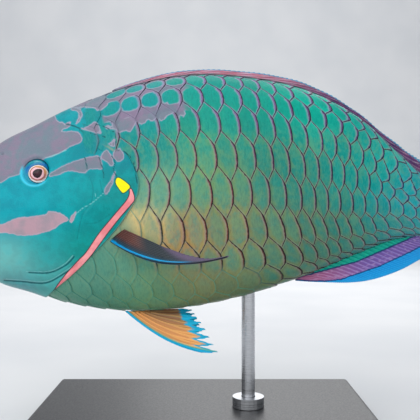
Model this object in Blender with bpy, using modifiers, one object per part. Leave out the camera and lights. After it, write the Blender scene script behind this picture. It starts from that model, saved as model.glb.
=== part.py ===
# A stoplight parrotfish, terminal phase, as a life-size still model on a small display stand.
# Metres, +Z up. Head towards -X, left flank towards -Y, tail swung towards +Y.
# The origin is the middle of the stand base's underside.

from math import cos, pi, radians, sin, tau

import bmesh
import bpy
import numpy as np
from mathutils import Vector

# Driving sizes of the fish. SL is the standard length, snout to tail base, along the bent axis.
SL = 0.360
AXIS_HEIGHT = 0.130
PIVOT_S = 0.435
HEAD_YAW = radians(4.0)
TAIL_YAW = radians(46.0)
BEND_START = 0.36
GAP = 0.0003
AROUND = 32

# Body profile: place along the axis, height of the back, height of the belly, half width, all as
# shares of SL. The axis runs at height 0.
PROFILE = (
    (0.012, 0.008, -0.046, 0.028),
    (0.030, 0.040, -0.070, 0.043),
    (0.060, 0.076, -0.095, 0.056),
    (0.100, 0.109, -0.118, 0.068),
    (0.150, 0.135, -0.133, 0.077),
    (0.200, 0.161, -0.149, 0.083),
    (0.300, 0.200, -0.164, 0.090),
    (0.400, 0.221, -0.159, 0.089),
    (0.500, 0.220, -0.140, 0.083),
    (0.600, 0.205, -0.112, 0.073),
    (0.700, 0.167, -0.079, 0.059),
    (0.800, 0.106, -0.054, 0.043),
    (0.880, 0.066, -0.051, 0.031),
    (0.940, 0.060, -0.057, 0.023),
    (1.000, 0.066, -0.067, 0.014),
)

# Rear edge of the head, which is the gill opening on each flank: angle down from the back, place.
GILL_EDGE = ((0, 0.268), (60, 0.292), (90, 0.318), (101, 0.296), (118, 0.250), (144, 0.195), (180, 0.165))
# Front edge of the gill cover, the fold behind the cheek.
COVER_EDGE = ((50, 0.236), (90, 0.226), (110, 0.205), (130, 0.176), (155, 0.150))
COVER_ANGLES = (64.0, 148.0)
COVER_THICKNESS = 0.0035
COVER_ROWS = 9
# How far the cutting block runs past the flank and the gill opening, and the head's mean radius there.
COVER_OVERRUN = 0.0018
COVER_SECTION_RADIUS = 0.050

SNOUT_S = 0.016
STALK_S = 0.800
CUT_CENTRE_S = 0.262
CUT_CENTRE_HEIGHT = 0.010
HEAD_RINGS = 13
TRUNK_RINGS = 15
STALK_RINGS = 7
SNOUT_CROWDING = 1.35
MOUTH_HEIGHT = -0.020
MOUTH_OPENING = 0.0012
BEAK_LENGTH = 0.0060
BEAK_HALF_WIDTH = 0.0092
BEAK_HALF_HEIGHT = 0.0086
LOWER_BEAK_REACH = 0.93
BEAK_COUNT = 12
BEAK_STEPS = 5

EYE_S = 0.161
EYE_HEIGHT = 0.060
EYE_RADIUS = 0.0082
EYE_DEPTH_RADIUS = 0.0055
EYE_SINK = 0.0026

# Stand.
BASE_SIZE = (0.200, 0.130, 0.012)
BASE_EDGE = 0.0025
ROD_RADIUS = 0.004
ROD_S = 0.500
ROD_SOCKET = 0.016
COLLAR_RADIUS = 0.0095
COLLAR_HEIGHT = 0.006


def smooth_curve(points):
    """A curve that runs smoothly through a few points (x, value)."""
    xs = np.array([p[0] for p in points], dtype=float)
    ys = np.array([p[1] for p in points], dtype=float)
    slopes = np.gradient(ys, xs)

    def value(x):
        x = min(max(x, xs[0]), xs[-1])
        i = min(max(int(np.searchsorted(xs, x)) - 1, 0), len(xs) - 2)
        span = xs[i + 1] - xs[i]
        t = (x - xs[i]) / span
        rise = t * t * (3 - 2 * t)
        lead = t * (1 - t) ** 2 * span * slopes[i]
        trail = -t * t * (1 - t) * span * slopes[i + 1]
        return float(ys[i] + (ys[i + 1] - ys[i]) * rise + lead + trail)

    return value


back = smooth_curve([(p[0], p[1]) for p in PROFILE])
belly = smooth_curve([(p[0], p[2]) for p in PROFILE])
half_width = smooth_curve([(p[0], p[3]) for p in PROFILE])
gill_edge = smooth_curve(GILL_EDGE)
cover_edge = smooth_curve(COVER_EDGE)


def heading(s):
    """The axis's turn away from +X at place s."""
    t = min(max((s - BEND_START) / (1.0 - BEND_START), 0.0), 1.0)
    return HEAD_YAW + (TAIL_YAW - HEAD_YAW) * t


def make_axis():
    """Points of the bent axis in plan, every thousandth of SL from -0.1 to 1.4."""
    places = np.linspace(-0.1, 1.4, 1501)
    turns = np.array([heading(s) for s in places])
    step = (places[1] - places[0]) * SL
    x = np.concatenate([[0.0], np.cumsum(np.cos(turns[:-1]) * step)])
    y = np.concatenate([[0.0], np.cumsum(np.sin(turns[:-1]) * step)])
    return places, x - np.interp(PIVOT_S, places, x), y - np.interp(PIVOT_S, places, y)


AXIS_S, AXIS_X, AXIS_Y = make_axis()
# The fish's centre of gravity in plan, about which the base is centred.
BALANCE = Vector((-0.004, 0.009, 0.0))


def at(s, lateral, height):
    """World point at place s along the axis, lateral towards the left flank, height above the axis."""
    turn = heading(s)
    x = float(np.interp(s, AXIS_S, AXIS_X)) + lateral * sin(turn)
    y = float(np.interp(s, AXIS_S, AXIS_Y)) - lateral * cos(turn)
    return Vector((x, y, AXIS_HEIGHT + height)) - BALANCE


def flank(s, angle, inset=0.0):
    """World point on the body's surface: angle in radians, 0 on the back, pi/2 on the left flank."""
    top = back(s) * SL
    bottom = belly(s) * SL
    half = (top - bottom) / 2 - inset
    wide = half_width(s) * SL - inset
    side = sin(angle)
    lateral = wide * (abs(side) ** 0.94) * (1 if side >= 0 else -1) * (1 - 0.06 * cos(angle))
    return at(s, lateral, (top + bottom) / 2 + half * cos(angle))


def surface_angle(s, height):
    """Angle of the left flank at a height above the axis, given as a share of SL."""
    middle = (back(s) + belly(s)) / 2
    half = (back(s) - belly(s)) / 2
    return float(np.arccos(np.clip((height - middle) / half, -1, 1)))


def material(name, colour, roughness, metallic=0.0):
    """A plain Principled material."""
    m = bpy.data.materials.new(name)
    m.use_nodes = True
    shader = m.node_tree.nodes["Principled BSDF"]
    shader.inputs["Base Color"].default_value = (*colour, 1.0)
    shader.inputs["Roughness"].default_value = roughness
    shader.inputs["Metallic"].default_value = metallic
    return m


def collection(name):
    """A new collection in the scene."""
    c = bpy.data.collections.new(name)
    bpy.context.scene.collection.children.link(c)
    return c


def add_object(name, bm, where, finish, smooth=True):
    """An object made from a bmesh, with its normals facing out."""
    bmesh.ops.recalc_face_normals(bm, faces=bm.faces)
    mesh = bpy.data.meshes.new(name)
    bm.to_mesh(mesh)
    bm.free()
    if smooth:
        mesh.shade_smooth()
        mesh.set_sharp_from_angle(angle=radians(50))
    if finish:
        mesh.materials.append(finish)
    ob = bpy.data.objects.new(name, mesh)
    where.objects.link(ob)
    return ob


def loft(rings, front, rear):
    """A closed body through rings of equal count, closed by a fan to a front and a rear point."""
    bm = bmesh.new()
    rows = [[bm.verts.new(p) for p in ring] for ring in rings]
    count = len(rows[0])
    for first, second in zip(rows, rows[1:]):
        for j in range(count):
            k = (j + 1) % count
            bm.faces.new((first[j], first[k], second[k], second[j]))
    for row, tip in ((rows[0], front), (rows[-1], rear)):
        centre = bm.verts.new(tip)
        for j in range(count):
            bm.faces.new((row[j], row[(j + 1) % count], centre))
    return bm


def ring_angles():
    """Angles once round the body, from the back down the left flank and up the right."""
    return [tau * j / AROUND for j in range(AROUND)]


def gill_place(angle, shift=0.0):
    """Place of the head's rear edge at an angle round the body."""
    folded = angle if angle <= pi else tau - angle
    return gill_edge(np.degrees(folded)) + shift / SL


def cut_centre(shift=0.0):
    """Middle of the parting face between head and trunk."""
    return at(CUT_CENTRE_S + shift / SL, 0.0, CUT_CENTRE_HEIGHT * SL)


def section_centre(s):
    """Middle of the body's section at place s."""
    return at(s, 0.0, (back(s) + belly(s)) / 2 * SL)


def make_body(parts, flesh):
    """Head, trunk and tail stalk: one lofted form, parted by two thin cuts."""
    angles = ring_angles()
    rings = []
    for i in range(HEAD_RINGS + 1):
        t = (i / HEAD_RINGS) ** SNOUT_CROWDING
        rings.append([flank(SNOUT_S + (gill_place(a) - SNOUT_S) * t, a) for a in angles])
    front = at(SNOUT_S, 0.0, MOUTH_HEIGHT * SL)
    head = add_object("head", loft(rings, front, cut_centre()), parts, flesh)

    rings = []
    for i in range(TRUNK_RINGS + 1):
        t = i / TRUNK_RINGS
        starts = [gill_place(a, GAP) for a in angles]
        rings.append([flank(s + (STALK_S - s) * t, a) for s, a in zip(starts, angles)])
    trunk_form = loft(rings, cut_centre(GAP), section_centre(STALK_S))
    trunk = add_object("trunk", trunk_form, parts, flesh)

    start = STALK_S + GAP / SL
    places = [start + (1.0 - start) * i / STALK_RINGS for i in range(STALK_RINGS + 1)]
    rings = [[flank(s, a) for a in angles] for s in places]
    stalk_form = loft(rings, section_centre(start), section_centre(1.0))
    add_object("tail_stalk", stalk_form, parts, flesh)
    return head, trunk


def cover_block(name, side, grow, where):
    """A curved block over one gill cover: from outside the flank to the cover's inner face."""
    rows = COVER_ROWS
    low, high = (radians(a) for a in COVER_ANGLES)
    edge = grow / COVER_SECTION_RADIUS
    bm = bmesh.new()
    layers = []
    for inset in (-COVER_OVERRUN, COVER_THICKNESS + grow):
        grid = []
        for i in range(rows + 1):
            angle = (low - edge) + (high - low + 2 * edge) * i / rows
            start = cover_edge(np.degrees(angle)) - grow / SL
            end = gill_place(angle) + COVER_OVERRUN / SL
            line = []
            for j in range(rows + 1):
                s = start + (end - start) * j / rows
                line.append(bm.verts.new(flank(s, angle * side, inset)))
            grid.append(line)
        layers.append(grid)
    outer, inner = layers
    for grid in layers:
        for i in range(rows):
            for j in range(rows):
                bm.faces.new((grid[i][j], grid[i + 1][j], grid[i + 1][j + 1], grid[i][j + 1]))
    for i in range(rows):
        for j in (0, rows):
            bm.faces.new((outer[i][j], outer[i + 1][j], inner[i + 1][j], inner[i][j]))
            bm.faces.new((outer[j][i], outer[j][i + 1], inner[j][i + 1], inner[j][i]))
    return add_object(name, bm, where, None, smooth=False)


def hide_cutter(ob):
    """Marks an object as a cutter."""
    ob.hide_render = True
    ob.display_type = "WIRE"


def cut(ob, cutter, operation="DIFFERENCE"):
    """A Boolean of one object by another."""
    m = ob.modifiers.new(f"{operation.title()} {cutter.name}", "BOOLEAN")
    m.operation = operation
    m.solver = "EXACT"
    m.object = cutter


def make_gill_covers(parts, cutters, head, flesh):
    """Each gill cover is a plate let into the side of the head."""
    for label, side in (("left", 1), ("right", -1)):
        hollow = cover_block(f"cover_hollow_{label}", side, GAP, cutters)
        hide_cutter(hollow)
        plate = cover_block(f"cover_block_{label}", side, 0.0, cutters)
        hide_cutter(plate)
        cover = bpy.data.objects.new(f"gill_cover_{label}", head.data.copy())
        cover.data.materials.clear()
        cover.data.materials.append(flesh)
        parts.objects.link(cover)
        cut(cover, plate, "INTERSECT")
        cut(head, hollow)


def eye_form(name, side, grow, where, finish):
    """A flattened ball for one eye, facing sideways out of the head."""
    place = EYE_S
    angle = surface_angle(place, EYE_HEIGHT)
    outer = flank(place, angle * side)
    outward = (flank(place, angle * side, -0.001) - outer).normalized()
    along = (flank(place + 0.01, angle * side) - flank(place - 0.01, angle * side)).normalized()
    outward = (outward - along * outward.dot(along)).normalized()
    bpy.ops.mesh.primitive_uv_sphere_add(segments=18, ring_count=10, radius=1.0)
    ob = bpy.context.object
    ob.name = name
    ob.data.name = name
    for c in ob.users_collection:
        c.objects.unlink(ob)
    where.objects.link(ob)
    ob.location = outer - outward * EYE_SINK
    ob.rotation_mode = "QUATERNION"
    ob.rotation_quaternion = outward.to_track_quat("Z", "Y")
    ob.scale = (EYE_RADIUS + grow, EYE_RADIUS + grow, EYE_DEPTH_RADIUS + grow)
    ob.data.shade_smooth()
    if finish:
        ob.data.materials.append(finish)
    return ob


def make_eyes(parts, cutters, head, finish):
    """Both eyes and the sockets that hold them."""
    for label, side in (("left", 1), ("right", -1)):
        eye_form(f"eye_{label}", side, 0.0, parts, finish)
        socket = eye_form(f"socket_{label}", side, GAP, cutters, None)
        hide_cutter(socket)
        cut(head, socket)


def beak_ring(t, upper):
    """Half outline of the beak at t, 0 at the lips and 1 at the biting edge."""
    count = BEAK_COUNT
    wide = BEAK_HALF_WIDTH * (1 - 0.26 * t * t)
    tall = BEAK_HALF_HEIGHT * (1 - 0.42 * t * t)
    flat = MOUTH_OPENING / 2
    sign = 1 if upper else -1
    turns = [pi * i / count for i in range(count + 1)]
    return [(wide * cos(a), sign * (flat + tall * sin(a))) for a in turns]


def make_beak(parts, finish):
    """The upper and lower beak: rounded wedges in front of the lips, a little apart."""
    steps = BEAK_STEPS
    for name, upper, reach in (("beak_upper", True, 1.0), ("beak_lower", False, LOWER_BEAK_REACH)):
        rings = []
        for i in range(steps + 1):
            t = i / steps
            s = SNOUT_S - (GAP + BEAK_LENGTH * reach * t) / SL
            rings.append([at(s, u, MOUTH_HEIGHT * SL + v) for u, v in beak_ring(t, upper)])
        middle = MOUTH_HEIGHT * SL + (BEAK_HALF_HEIGHT / 4 if upper else -BEAK_HALF_HEIGHT / 4)
        front = at(SNOUT_S - (GAP + BEAK_LENGTH * reach * 1.06) / SL, 0.0, middle)
        rear = at(SNOUT_S - GAP / SL, 0.0, middle)
        add_object(name, loft(rings, rear, front), parts, finish)


def sheet(name, rows, thickness, where, finish):
    """A fin: an open grid of points made solid."""
    bm = bmesh.new()
    grid = [[bm.verts.new(p) for p in row] for row in rows]
    for first, second in zip(grid, grid[1:]):
        for j in range(len(first) - 1):
            bm.faces.new((first[j], first[j + 1], second[j + 1], second[j]))
    ob = add_object(name, bm, where, finish)
    m = ob.modifiers.new("Solidify", "SOLIDIFY")
    m.thickness = thickness
    m.offset = 0.0
    m.use_even_offset = True
    return ob


# Fins along the back and belly: place, and how far the outer edge stands off the body, shares of SL.
DORSAL_HEIGHT = (
    (0.275, 0.002), (0.33, 0.0060), (0.45, 0.0085), (0.60, 0.0115), (0.74, 0.0120), (0.82, 0.020),
    (0.88, 0.025), (0.925, 0.014),
)
ANAL_DEPTH = (
    (0.585, 0.003), (0.63, 0.021), (0.69, 0.044), (0.75, 0.056), (0.80, 0.056), (0.86, 0.043),
    (0.90, 0.031), (0.935, 0.012),
)
DORSAL_THICKNESS = 0.0022
ANAL_THICKNESS = 0.0014
ANAL_LEAN = 0.012
FIN_BASE_END = 0.872
MEDIAN_COLUMNS = 22
MEDIAN_ROWS = 3


def median_fin(name, heights, edge, sign, thickness, where, finish, lean=0.0):
    """A fin along the midline, from its base on the body to its outer edge."""
    height = smooth_curve(heights)
    start = heights[0][0]
    end = heights[-1][0]
    columns = MEDIAN_COLUMNS
    rows = MEDIAN_ROWS
    grid = []
    for j in range(rows + 1):
        across = j / rows
        line = []
        for i in range(columns + 1):
            t = i / columns
            root = start + (FIN_BASE_END - start) * t
            tip = start + (end - start) * t
            s = root + (tip - root) * across
            stand_off = GAP + (height(tip) * SL) * across
            sway = lean * sin(pi * t) * across * SL
            line.append(at(s, sway, edge(s) * SL + sign * stand_off))
        grid.append(line)
    return sheet(name, grid, thickness, where, finish)


def make_median_fins(parts, dorsal_finish, anal_finish):
    """The folded fin of the back and the fin behind the vent."""
    median_fin("dorsal_fin", DORSAL_HEIGHT, back, 1, DORSAL_THICKNESS, parts, dorsal_finish)
    median_fin("anal_fin", ANAL_DEPTH, belly, -1, ANAL_THICKNESS, parts, anal_finish, ANAL_LEAN)


TAIL_BASE_HALF = 0.058
TAIL_LOBE_HALF = 0.172
TAIL_MIDDLE_REACH = 0.128
TAIL_LOBE_REACH = 0.252
TAIL_THICKNESS = 0.0016
TAIL_CUP = 0.010
TAIL_COLUMNS = 26
TAIL_ROWS = 6


def make_tail_fin(parts, finish):
    """The crescent tail: rays fan from the stalk to a hollow edge between two drawn-out lobes."""
    columns = TAIL_COLUMNS
    rows = TAIL_ROWS
    middle = (back(1.0) + belly(1.0)) / 2
    grid = []
    for j in range(rows + 1):
        along = j / rows
        line = []
        for i in range(columns + 1):
            u = 2 * i / columns - 1
            reach = TAIL_MIDDLE_REACH + (TAIL_LOBE_REACH - TAIL_MIDDLE_REACH) * abs(u) ** 3.2
            spread = TAIL_BASE_HALF * u + (TAIL_LOBE_HALF - TAIL_BASE_HALF) * u * along ** 0.8
            s = 1.0 + GAP / SL + reach * along
            cup = TAIL_CUP * along * along * (1 - 0.6 * u * u)
            line.append(at(s, -cup * SL, (middle + spread) * SL))
        grid.append(line)
    sheet("tail_fin", grid, TAIL_THICKNESS, parts, finish)


def from_points(points, side):
    """World points for a fin's ray given as (place, lateral, height) in metres beside the axis."""
    return [at(s, lateral * side, height) for s, lateral, height in points]


def bent_ray(root, tip, sag, steps):
    """Points of one ray from root to tip, arched by sag (metres along the three body directions)."""
    ray = []
    for i in range(steps + 1):
        t = i / steps
        bow = 4 * t * (1 - t)
        ray.append(tuple(a + (b - a) * t + c * bow for a, b, c in zip(root, tip, sag)))
    return ray


def blend(first, second, t):
    """A point part way between two."""
    return tuple(a + (b - a) * t for a, b in zip(first, second))


# Paired fins: place (share of SL), distance out from the middle plane and height (metres).
PECTORAL_ROOT = ((0.284, 0.0325, -0.0185), (0.303, 0.0335, -0.0110))
PECTORAL_TIPS = ((0.430, 0.078, -0.0222), (0.412, 0.066, -0.0245), (0.392, 0.052, -0.0240), (0.372, 0.040, -0.0222))
PECTORAL_BOW = (0.0, 0.004, -0.0065)
PECTORAL_THICKNESS = 0.0010
PELVIC_ROOT = ((0.305, 0.0090, -0.0606), (0.345, 0.0085, -0.0600))
PELVIC_TIPS = ((0.440, 0.023, -0.0815), (0.428, 0.022, -0.0735), (0.417, 0.018, -0.0655), (0.405, 0.013, -0.0600))
PELVIC_BOW = (0.0, 0.001, -0.0045)
PELVIC_THICKNESS = 0.0010
FAN_COLUMNS = 12
FAN_STEPS = 6


def fan_fin(name, root, tips, sag, side, thickness, where, finish):
    """A paired fin: rays from a short root that fan out to a row of tips."""
    columns = FAN_COLUMNS
    steps = FAN_STEPS
    tip_curve = [smooth_curve([(i / (len(tips) - 1), tip[k]) for i, tip in enumerate(tips)]) for k in range(3)]
    rays = []
    for i in range(columns + 1):
        t = i / columns
        tip = tuple(curve(t) for curve in tip_curve)
        bow = tuple(c * (1 - t) for c in sag)
        rays.append(from_points(bent_ray(blend(*root, t), tip, bow, steps), side))
    sheet(name, rays, thickness, where, finish)


def make_paired_fins(parts, pectoral_finish, pelvic_finish):
    """Pectoral fins, swept out and back, and pelvic fins, spread under the belly."""
    for label, side in (("left", 1), ("right", -1)):
        fan_fin(f"pectoral_fin_{label}", PECTORAL_ROOT, PECTORAL_TIPS, PECTORAL_BOW, side,
                PECTORAL_THICKNESS, parts, pectoral_finish)
        fan_fin(f"pelvic_fin_{label}", PELVIC_ROOT, PELVIC_TIPS, PELVIC_BOW, side,
                PELVIC_THICKNESS, parts, pelvic_finish)


def make_stand(parts, cutters, trunk, base_finish, rod_finish):
    """A flat base, a collar and one rod that enters the belly."""
    bpy.ops.mesh.primitive_cube_add(size=1.0)
    base = bpy.context.object
    base.name = "stand_base"
    for v in base.data.vertices:
        v.co = Vector((v.co.x * BASE_SIZE[0], v.co.y * BASE_SIZE[1], (v.co.z + 0.5) * BASE_SIZE[2]))
    bevel = base.modifiers.new("Bevel", "BEVEL")
    bevel.width = BASE_EDGE
    bevel.segments = 3
    foot = at(ROD_S, 0.0, -AXIS_HEIGHT)
    rod_top = AXIS_HEIGHT + belly(ROD_S) * SL + ROD_SOCKET
    collar_bottom = BASE_SIZE[2] + GAP
    rod_bottom = collar_bottom
    rod = turned("stand_rod", ROD_RADIUS, rod_bottom, rod_top, foot)
    collar = turned("stand_collar", COLLAR_RADIUS, collar_bottom, collar_bottom + COLLAR_HEIGHT, foot)
    bore = turned("collar_bore", ROD_RADIUS + GAP, 0.0, rod_top, foot)
    socket = turned("rod_socket", ROD_RADIUS + GAP, collar_bottom, rod_top + GAP, foot)
    for ob, where, finish in ((base, parts, base_finish), (rod, parts, rod_finish), (collar, parts, rod_finish),
                              (bore, cutters, None), (socket, cutters, None)):
        for c in ob.users_collection:
            c.objects.unlink(ob)
        where.objects.link(ob)
        if finish:
            ob.data.materials.append(finish)
    hide_cutter(bore)
    hide_cutter(socket)
    cut(collar, bore)
    cut(trunk, socket)


def turned(name, radius, low, high, foot):
    """An upright round bar between two heights."""
    bpy.ops.mesh.primitive_cylinder_add(vertices=24, radius=radius, depth=high - low)
    ob = bpy.context.object
    ob.name = name
    ob.data.name = name
    ob.location = (foot.x, foot.y, (low + high) / 2)
    ob.data.shade_smooth()
    ob.data.set_sharp_from_angle(angle=radians(40))
    return ob


def main():
    for ob in list(bpy.data.objects):
        bpy.data.objects.remove(ob)
    parts = collection("Parrotfish")
    cutters = collection("Cutters")
    flesh = material("Turquoise scales", (0.03, 0.36, 0.26), 0.38)
    gill = material("Gill cover teal", (0.01, 0.30, 0.24), 0.36)
    beak = material("Pale beak", (0.62, 0.72, 0.62), 0.30)
    eye = material("Eye", (0.55, 0.20, 0.13), 0.12)
    salmon = material("Salmon fin", (0.62, 0.17, 0.20), 0.42)
    violet = material("Violet fin", (0.38, 0.14, 0.38), 0.42)
    tail = material("Orange and blue fin", (0.70, 0.30, 0.16), 0.42)
    dark = material("Dark fin", (0.04, 0.02, 0.05), 0.40)
    orange = material("Orange fin", (0.55, 0.22, 0.07), 0.42)
    black = material("Black base", (0.02, 0.02, 0.022), 0.45)
    steel = material("Brushed rod", (0.55, 0.56, 0.58), 0.30, 1.0)
    head, trunk = make_body(parts, flesh)
    make_gill_covers(parts, cutters, head, gill)
    make_eyes(parts, cutters, head, eye)
    make_beak(parts, beak)
    make_median_fins(parts, salmon, violet)
    make_tail_fin(parts, tail)
    make_paired_fins(parts, dark, orange)
    make_stand(parts, cutters, trunk, black, steel)


main()
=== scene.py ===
from math import cos, pi, radians, sin, tau

import bmesh
import bpy
import numpy as np
from bpy.props import FloatProperty, FloatVectorProperty, IntProperty, PointerProperty
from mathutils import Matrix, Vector


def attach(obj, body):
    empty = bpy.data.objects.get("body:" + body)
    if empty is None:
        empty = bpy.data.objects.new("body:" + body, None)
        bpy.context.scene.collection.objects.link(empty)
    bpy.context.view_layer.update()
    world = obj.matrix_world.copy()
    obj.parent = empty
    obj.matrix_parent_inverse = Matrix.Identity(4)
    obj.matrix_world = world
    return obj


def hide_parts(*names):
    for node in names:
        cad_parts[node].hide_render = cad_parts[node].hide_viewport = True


bl_info = {
    "name": "Parrotfish model",
    "version": (1, 0, 0),
    "blender": (4, 5, 0),
    "location": "View3D > Sidebar > Parrotfish",
    "description": "Skin, scales, fins, eyes, beak and stand of a life-size parrotfish",
    "category": "Add Mesh",
}

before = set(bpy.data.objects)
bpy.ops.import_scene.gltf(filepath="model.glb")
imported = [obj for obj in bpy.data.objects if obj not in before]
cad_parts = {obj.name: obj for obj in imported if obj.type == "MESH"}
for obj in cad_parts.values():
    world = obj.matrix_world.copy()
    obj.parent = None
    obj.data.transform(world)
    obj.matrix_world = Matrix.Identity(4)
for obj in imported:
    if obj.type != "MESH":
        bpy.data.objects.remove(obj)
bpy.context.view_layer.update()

# The body's form, as in the solids: SL is the standard length along the bent axis.
SL = 0.360
AXIS_HEIGHT = 0.130
PIVOT_S = 0.435
HEAD_YAW = radians(4.0)
TAIL_YAW = radians(46.0)
BEND_START = 0.36
BALANCE = (-0.004, 0.009)
GAP = 0.0003
MM = 0.001

# Place along the axis, height of the back, height of the belly, half width, all as shares of SL.
PROFILE = (
    (0.012, 0.008, -0.046, 0.028),
    (0.030, 0.040, -0.070, 0.043),
    (0.060, 0.076, -0.095, 0.056),
    (0.100, 0.109, -0.118, 0.068),
    (0.150, 0.135, -0.133, 0.077),
    (0.200, 0.161, -0.149, 0.083),
    (0.300, 0.200, -0.164, 0.090),
    (0.400, 0.221, -0.159, 0.089),
    (0.500, 0.220, -0.140, 0.083),
    (0.600, 0.205, -0.112, 0.073),
    (0.700, 0.167, -0.079, 0.059),
    (0.800, 0.106, -0.054, 0.043),
    (0.880, 0.066, -0.051, 0.031),
    (0.940, 0.060, -0.057, 0.023),
    (1.000, 0.066, -0.067, 0.014),
)
# The gill opening and the fold in front of the gill cover: degrees down from the back, place.
GILL_EDGE = ((0, 0.268), (60, 0.292), (90, 0.318), (101, 0.296), (118, 0.250), (144, 0.195), (180, 0.165))

SNOUT_S = 0.016
MOUTH_HEIGHT = -0.020
MOUTH_OPENING = 0.0012
BEAK_LENGTH = 0.0060
BEAK_HALF_WIDTH = 0.0092
BEAK_HALF_HEIGHT = 0.0086
LOWER_BEAK_REACH = 0.93

EYE_S = 0.1646
EYE_HEIGHT = 0.0582
EYE_RADIUS = 0.0075
EYE_DEPTH_RADIUS = 0.0055
EYE_SINK = 0.0026

# The camera stands level with the fish. The photo is PHOTO_SIZE pixels square.
CAMERA_PLACE = (0.004, -0.418, 0.130)
CAMERA_LENS = 59.0
SENSOR = 36.0
PHOTO_SIZE = 420
FOCAL_PIXELS = CAMERA_LENS / SENSOR * PHOTO_SIZE


def smooth_curve(points):
    """A curve that runs smoothly through a few points (x, value), for single values or arrays."""
    xs, ys = np.array(points, dtype=float).T
    slopes = np.gradient(ys, xs)

    def value(x):
        x = np.clip(x, xs[0], xs[-1])
        i = np.clip(np.searchsorted(xs, x) - 1, 0, len(xs) - 2)
        span = xs[i + 1] - xs[i]
        t = (x - xs[i]) / span
        rise = t * t * (3 - 2 * t)
        lead = t * (1 - t) ** 2 * span * slopes[i]
        trail = -t * t * (1 - t) * span * slopes[i + 1]
        return ys[i] + (ys[i + 1] - ys[i]) * rise + lead + trail

    return value


def ease(x, low, high):
    """0 below low, 1 above high, and a smooth rise between."""
    t = np.clip((x - low) / (high - low), 0.0, 1.0)
    return t * t * (3 - 2 * t)


def hump(x, width):
    """A smooth hump of height 1 at x = 0."""
    return np.exp(-((x / width) ** 2))


back = smooth_curve([(p[0], p[1]) for p in PROFILE])
belly = smooth_curve([(p[0], p[2]) for p in PROFILE])
half_width = smooth_curve([(p[0], p[3]) for p in PROFILE])
gill_edge = smooth_curve(GILL_EDGE)


def heading(s):
    """The axis's turn away from +X at place s."""
    t = np.clip((s - BEND_START) / (1.0 - BEND_START), 0.0, 1.0)
    return HEAD_YAW + (TAIL_YAW - HEAD_YAW) * t


def make_axis():
    """Points of the bent axis in plan, every thousandth of SL from -0.1 to 1.4."""
    places = np.linspace(-0.1, 1.4, 1501)
    turns = heading(places)
    step = (places[1] - places[0]) * SL
    x = np.concatenate([[0.0], np.cumsum(np.cos(turns[:-1]) * step)])
    y = np.concatenate([[0.0], np.cumsum(np.sin(turns[:-1]) * step)])
    return places, x - np.interp(PIVOT_S, places, x), y - np.interp(PIVOT_S, places, y)


AXIS_S, AXIS_X, AXIS_Y = make_axis()


def at(s, lateral, height):
    """World points at place s along the axis, lateral towards the left flank, height above the axis."""
    s, lateral, height = np.broadcast_arrays(np.asarray(s, float), lateral, height)
    turn = heading(s)
    x = np.interp(s, AXIS_S, AXIS_X) + lateral * np.sin(turn) - BALANCE[0]
    y = np.interp(s, AXIS_S, AXIS_Y) - lateral * np.cos(turn) - BALANCE[1]
    return np.stack([x, y, AXIS_HEIGHT + height], axis=-1)


# Past the tail base the flesh thins out between the rays of the tail fin.
STALK_TIP_S = 1.026


def on_body(s, angle):
    """World points on the body's outer surface: angle 0 on the back, pi/2 on the left flank."""
    top = back(s) * SL
    bottom = belly(s) * SL
    thinning = np.sqrt(np.clip(1 - (np.clip(s - 0.985, 0, None) / (STALK_TIP_S - 0.985)) ** 2, 0.02, 1))
    wide = half_width(s) * SL * thinning
    side = np.sin(angle)
    lateral = wide * np.abs(side) ** 0.94 * np.sign(side) * (1 - 0.06 * np.cos(angle))
    return at(s, lateral, (top + bottom) / 2 + (top - bottom) / 2 * np.cos(angle))


def unit(v):
    """Vectors at length 1."""
    return v / np.maximum(np.linalg.norm(v, axis=-1, keepdims=True), 1e-12)


def body_normal(s, angle):
    """Outward directions of the body's surface."""
    along = on_body(s + 0.003, angle) - on_body(s - 0.003, angle)
    round_it = on_body(s, angle + 0.02) - on_body(s, angle - 0.02)
    return unit(np.cross(round_it, along))


def raised(s, angle, out):
    """World points at a distance out from the body's surface."""
    return on_body(s, angle) + body_normal(s, angle) * np.asarray(out)[..., None]


def folded_degrees(angle):
    """Degrees down from the back, alike on both flanks."""
    turned = np.mod(angle, tau)
    return np.degrees(np.where(turned <= pi, turned, tau - turned))


def photo_pixel(points):
    """Where world points fall in the photo, in its pixels, y down."""
    p = np.asarray(points, float)
    depth = p[..., 1] - CAMERA_PLACE[1]
    x = PHOTO_SIZE / 2 + FOCAL_PIXELS * (p[..., 0] - CAMERA_PLACE[0]) / depth
    y = PHOTO_SIZE / 2 - FOCAL_PIXELS * (p[..., 2] - CAMERA_PLACE[2]) / depth
    return x, y


def side_map(s, angle):
    """Photo pixels of a place on the body, or of its twin on the left flank."""
    return photo_pixel(on_body(s, np.radians(folded_degrees(angle))))


def rgb(red, green, blue):
    """A colour given on the 0 to 255 scale of a screen, as linear light."""
    c = np.array([red, green, blue], float) / 255
    return tuple(np.where(c <= 0.04045, c / 12.92, ((c + 0.055) / 1.055) ** 2.4))


def colour_property(name, description, default):
    """A colour that can be changed in the sidebar."""
    return FloatVectorProperty(name=name, description=description, default=default, subtype="COLOR",
                               size=3, min=0.0, max=1.0)


def size_property(name, description, default):
    """A length that can be changed in the sidebar."""
    return FloatProperty(name=name, description=description, default=default, min=0.0, subtype="DISTANCE",
                         unit="LENGTH", precision=5)


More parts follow.
